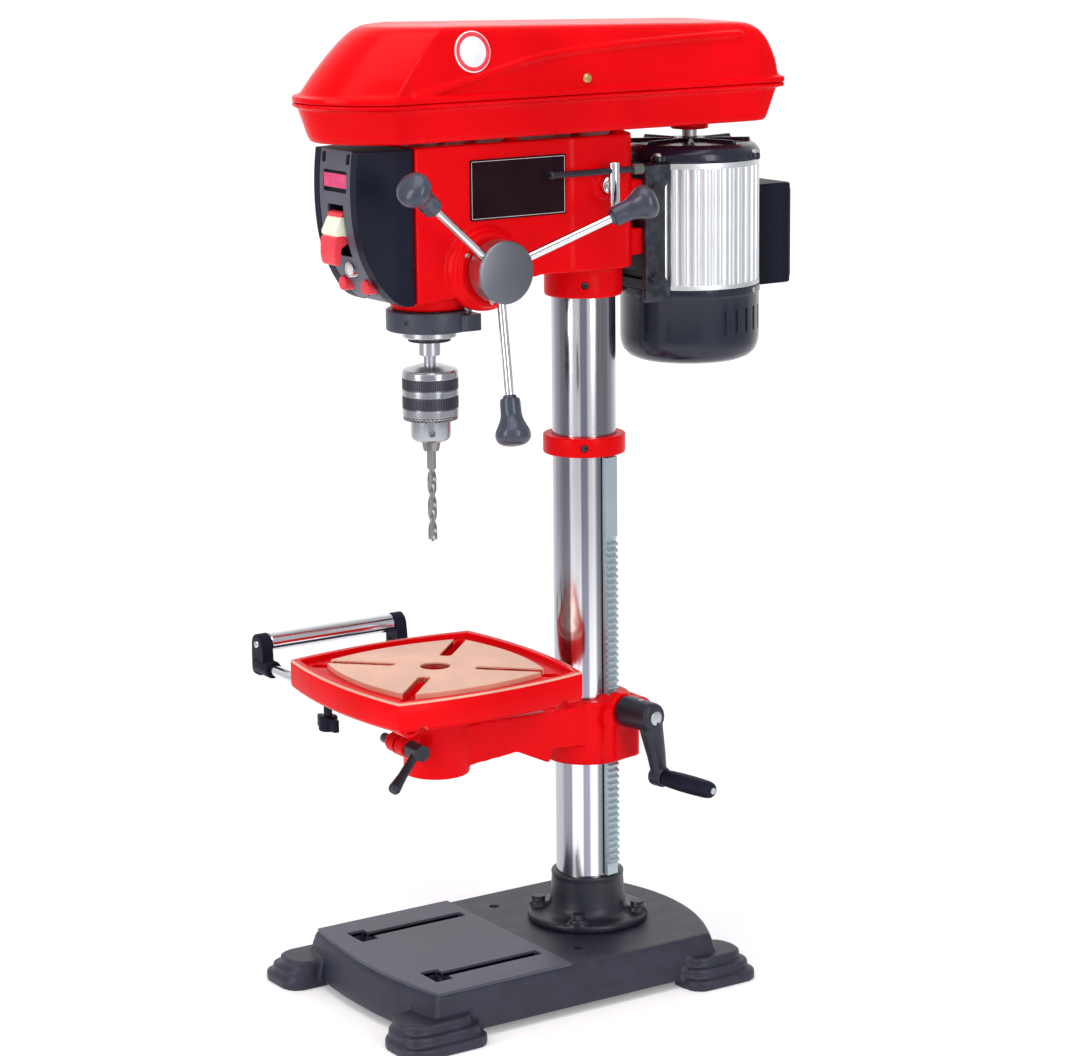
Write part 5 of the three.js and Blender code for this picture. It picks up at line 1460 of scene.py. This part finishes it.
# %% Motor shell
fins = []
for fin in range(40):
    for f, r in ((0.0, 63.2), (0.16, 64.0), (0.26, 65.7), (0.36, 66.0), (0.54, 66.0), (0.64, 65.7),
                 (0.74, 64.0), (0.9, 63.2)):
        a = math.tau * (fin + f) / 40
        fins.append((MOTOR[0] + r * math.cos(a), MOTOR[1] + r * math.sin(a)))
shell_block = slab(fins, 652, 770)
mount_flat = block((-45, 40, 640), (45, 60.5, 780))
settle("motor_finned_shell", carved(shell_block, mount_flat), shell_alloy, "frame",
       ["motor_shell"], edge=0.35)
rims = gathered(*[ring(60, 66.3, low, high, 0.4, MOTOR, 112) for low, high in ((764.6, 770), (652, 656.4))])
settle("motor_shell_rims", drilled(rims, block((-45, 40, 640), (45, 60.6, 780))), shell_alloy, "frame",
       edge=0.2)
print("40 fins")

# %% Fan can, end bell and capacitor box
VENTS = 30
CORNER_ANGLES = (0.5, 2.1, 3.66, 5.2)
can_line = [(0, 580), (36, 580), (50, 581.2), (58, 584.6), (63, 590), (65.4, 597), (66, 604), (66, 643),
            (66.6, 644.6), (67, 646), (67, 651.7), (0, 651.7)]
can = spun(can_line, MOTOR, steps=128)
vents = [round_axis(block((64.2, -1.7, 610), (72, 1.7, 632)), 12 * slot + 6, MOTOR)
         for slot in range(VENTS) if math.sin(math.radians(12 * slot + 6)) > -0.2]
can_piece = carved(can, block((-80, 40, 570), (80, 55.5, 660)), *vents)
settle("motor_fan_can", can_piece, motor_gloss, "frame", ["motor_end_can"], edge=0.5)

bell_line = [(8, 770.3), (66.5, 770.3), (66.5, 776), (65.4, 779), (62, 783), (56, 785.6), (50, 785.6),
             (38, 786), (20, 786.2), (8, 786.2), (8, 770.3)]
bell_bits = [spun(bell_line, MOTOR, steps=96)]
bell_bolts = []
for angle in CORNER_ANGLES:
    spot = (66 * math.cos(angle), MOTOR[1] + 66 * math.sin(angle))
    bell_bits.append(spun([(0, 770.3), (6.5, 770.3), (6.5, 776.4), (5.8, 777), (0, 777)], spot, steps=40))
    bell_bolts.append(hex_bolt((*spot, 776.9), (0, 0, 1), 3.6, 2.6))
for rib in range(8):
    bell_bits.append(round_axis(block((14, -1.8, 780), (57, 1.8, 788.8)), 45 * rib + 12, MOTOR))
bell_bits.append(spun([(8, 780), (15, 780), (15, 789), (8, 789), (8, 780)], MOTOR))
bell_skin = cast(gathered(*bell_bits), 1.1, 3)
settle("motor_end_bell_cast", drilled(bell_skin, block((-90, 40, 760), (90, 55.5, 800))), motor_gloss,
       "frame", ["motor_end_bell"])
can_bolts = []
for angle in CORNER_ANGLES:
    outward = Vector((math.cos(angle), math.sin(angle), 0))
    spot = Vector((0, MOTOR[1], 648)) + outward * 66.8
    can_bolts.append(cross_screw(tuple(spot), tuple(outward), 2.6, 1.2))
settle("motor_bolts", gathered(*bell_bolts, *can_bolts), zinc, "frame")

box_block = slab(panel(-25, 25, 180, 225, 6), 646, 742)
box_piece = carved(box_block, plain_bore(67.5, 640, 750, MOTOR, steps=128))
settle("capacitor_cover", box_piece, black_plastic, "frame", ["capacitor_box"], edge=2.2,
       steps=3)
cover_line = slab(panel(-22, 22, 650, 738, 4), 224.4, 225.6, "Y")
cover_screws = [cross_screw((x, 225.5, z), (0, 1, 0), 2.4, 1.1) for x in (-17, 17) for z in (655, 733)]
settle("capacitor_cover_plate", cover_line, black_plastic, "frame", edge=0.4)
settle("capacitor_screws", gathered(*cover_screws), zinc, "frame")
print("motor length", 789 - 580, "mm")

# %% Motor bracket with its slots and bolts
SLOT_HEIGHTS = (665, 748)
back = block((-40, 54, 652.4), (40, 60, 769.6))
cheeks = []
for side in (-1, 1):
    outline = eased([(42, 643), (73, 643), (73, 656), (64, 664), (64, 750), (73, 758), (73, 770),
                     (42, 770)], 3)
    cheeks.append(slab(outline, min(side * 36, side * 42), max(side * 36, side * 42), "X"))
mount_pads = block((-35.5, 44.4, 690), (35.5, 56, 755))
bracket_body = worked("UNION", back, *cheeks, mount_pads)
ring_room = carved(plain_bore(67.2, 600, 800, MOTOR, steps=128), block((-46, 40, 640), (46, 60.1, 772)))
slots = [slab(panel(45, 59, z - 3.5, z + 3.5, 3.4), -60, 60, "X") for z in SLOT_HEIGHTS]
settle("motor_bracket_plate", carved(bracket_body, ring_room, *slots), black_iron, "frame",
       ["motor_bracket"], edge=0.5)
bracket_bolts = [hex_bolt((42 * side, 52, z), (side, 0, 0), 4.8, 3.4)
                 for side in (-1, 1) for z in SLOT_HEIGHTS]
settle("motor_bracket_bolts", gathered(*bracket_bolts), black_iron, "frame", edge=0.2)
print("bracket bolts at both slots")

# %% [markdown]
# ## Floor and light
# A plain pale floor and large soft lights keep attention on the machine. Two tall strips give the long soft
# highlights, a light overhead opens the shadows, and the pale world fills the rest, as in a product studio.
# The floor fades out with distance, so that no horizon cuts across the view.

# %% Studio
floor_bench = Bench("studio_floor", (0.88, 0.88, 0.89), 0.0, 0.7, Emission_Color=(1, 1, 1, 1),
                    Emission_Strength=0.2, Specular_IOR_Level=0.1)
grain = floor_bench.noise(3.0, 3.0)
reach = floor_bench.node("ShaderNodeVectorMath", {"operation": "LENGTH"}, {0: floor_bench.place}, "Value")
floor_bench.feed("Alpha", floor_bench.ramp(reach * 0.1, [(0.09, 1.0), (0.22, 0.0)]))
floor_bench.feed("Base Color", floor_bench.blend(grain * 0.25, (0.89, 0.89, 0.90), (0.86, 0.86, 0.87)))
sheet = bmesh.new()
bmesh.ops.create_grid(sheet, x_segments=1, y_segments=1, size=9)
floor_mesh = bpy.data.meshes.new("studio_floor")
sheet.to_mesh(floor_mesh)
sheet.free()
floor = bpy.data.objects.new("studio_floor", floor_mesh)
bpy.context.scene.collection.objects.link(floor)
floor_mesh.materials.append(floor_bench.material)


def soft_light(name, place, target, width, height, power):
    lamp = bpy.data.lights.new(name, "AREA")
    lamp.shape = "RECTANGLE"
    lamp.size, lamp.size_y = width, height
    lamp.energy = power
    thing = bpy.data.objects.new(name, lamp)
    thing.location = place
    thing.rotation_euler = (Vector(target) - Vector(place)).to_track_quat("-Z", "Y").to_euler()
    bpy.context.scene.collection.objects.link(thing)


def studio_world():
    """White behind the machine, soft grey elsewhere, so that bright metal has something to reflect."""
    world = bpy.data.worlds.new("studio_world")
    world.use_nodes = True
    nodes, links = world.node_tree.nodes, world.node_tree.links
    where = nodes.new("ShaderNodeTexCoord")
    facing = nodes.new("ShaderNodeVectorMath")
    facing.operation = "DOT_PRODUCT"
    facing.inputs[1].default_value = (-0.836, 0.549, 0.0)
    ramp = nodes.new("ShaderNodeValToRGB")
    ramp.color_ramp.elements[0].position = 0.35
    ramp.color_ramp.elements[0].color = (0.46, 0.46, 0.48, 1)
    ramp.color_ramp.elements[1].position = 0.82
    ramp.color_ramp.elements[1].color = (1.0, 1.0, 1.0, 1)
    links.new(where.outputs["Generated"], facing.inputs[0])
    links.new(facing.outputs["Value"], ramp.inputs[0])
    links.new(ramp.outputs[0], nodes["Background"].inputs[0])
    nodes["Background"].inputs[1].default_value = 1.12
    bpy.context.scene.world = world


studio_world()
soft_light("left_strip", (0.35, -2.75, 1.35), (0, 0, 0.55), 0.9, 2.4, 32)
soft_light("right_strip", (2.75, 0.1, 1.35), (0, 0, 0.55), 0.9, 2.4, 32)
soft_light("top_light", (0.4, -0.6, 3.2), (0, 0, 0.4), 2.4, 2.4, 39)
print("pieces made:", len(made_pieces))
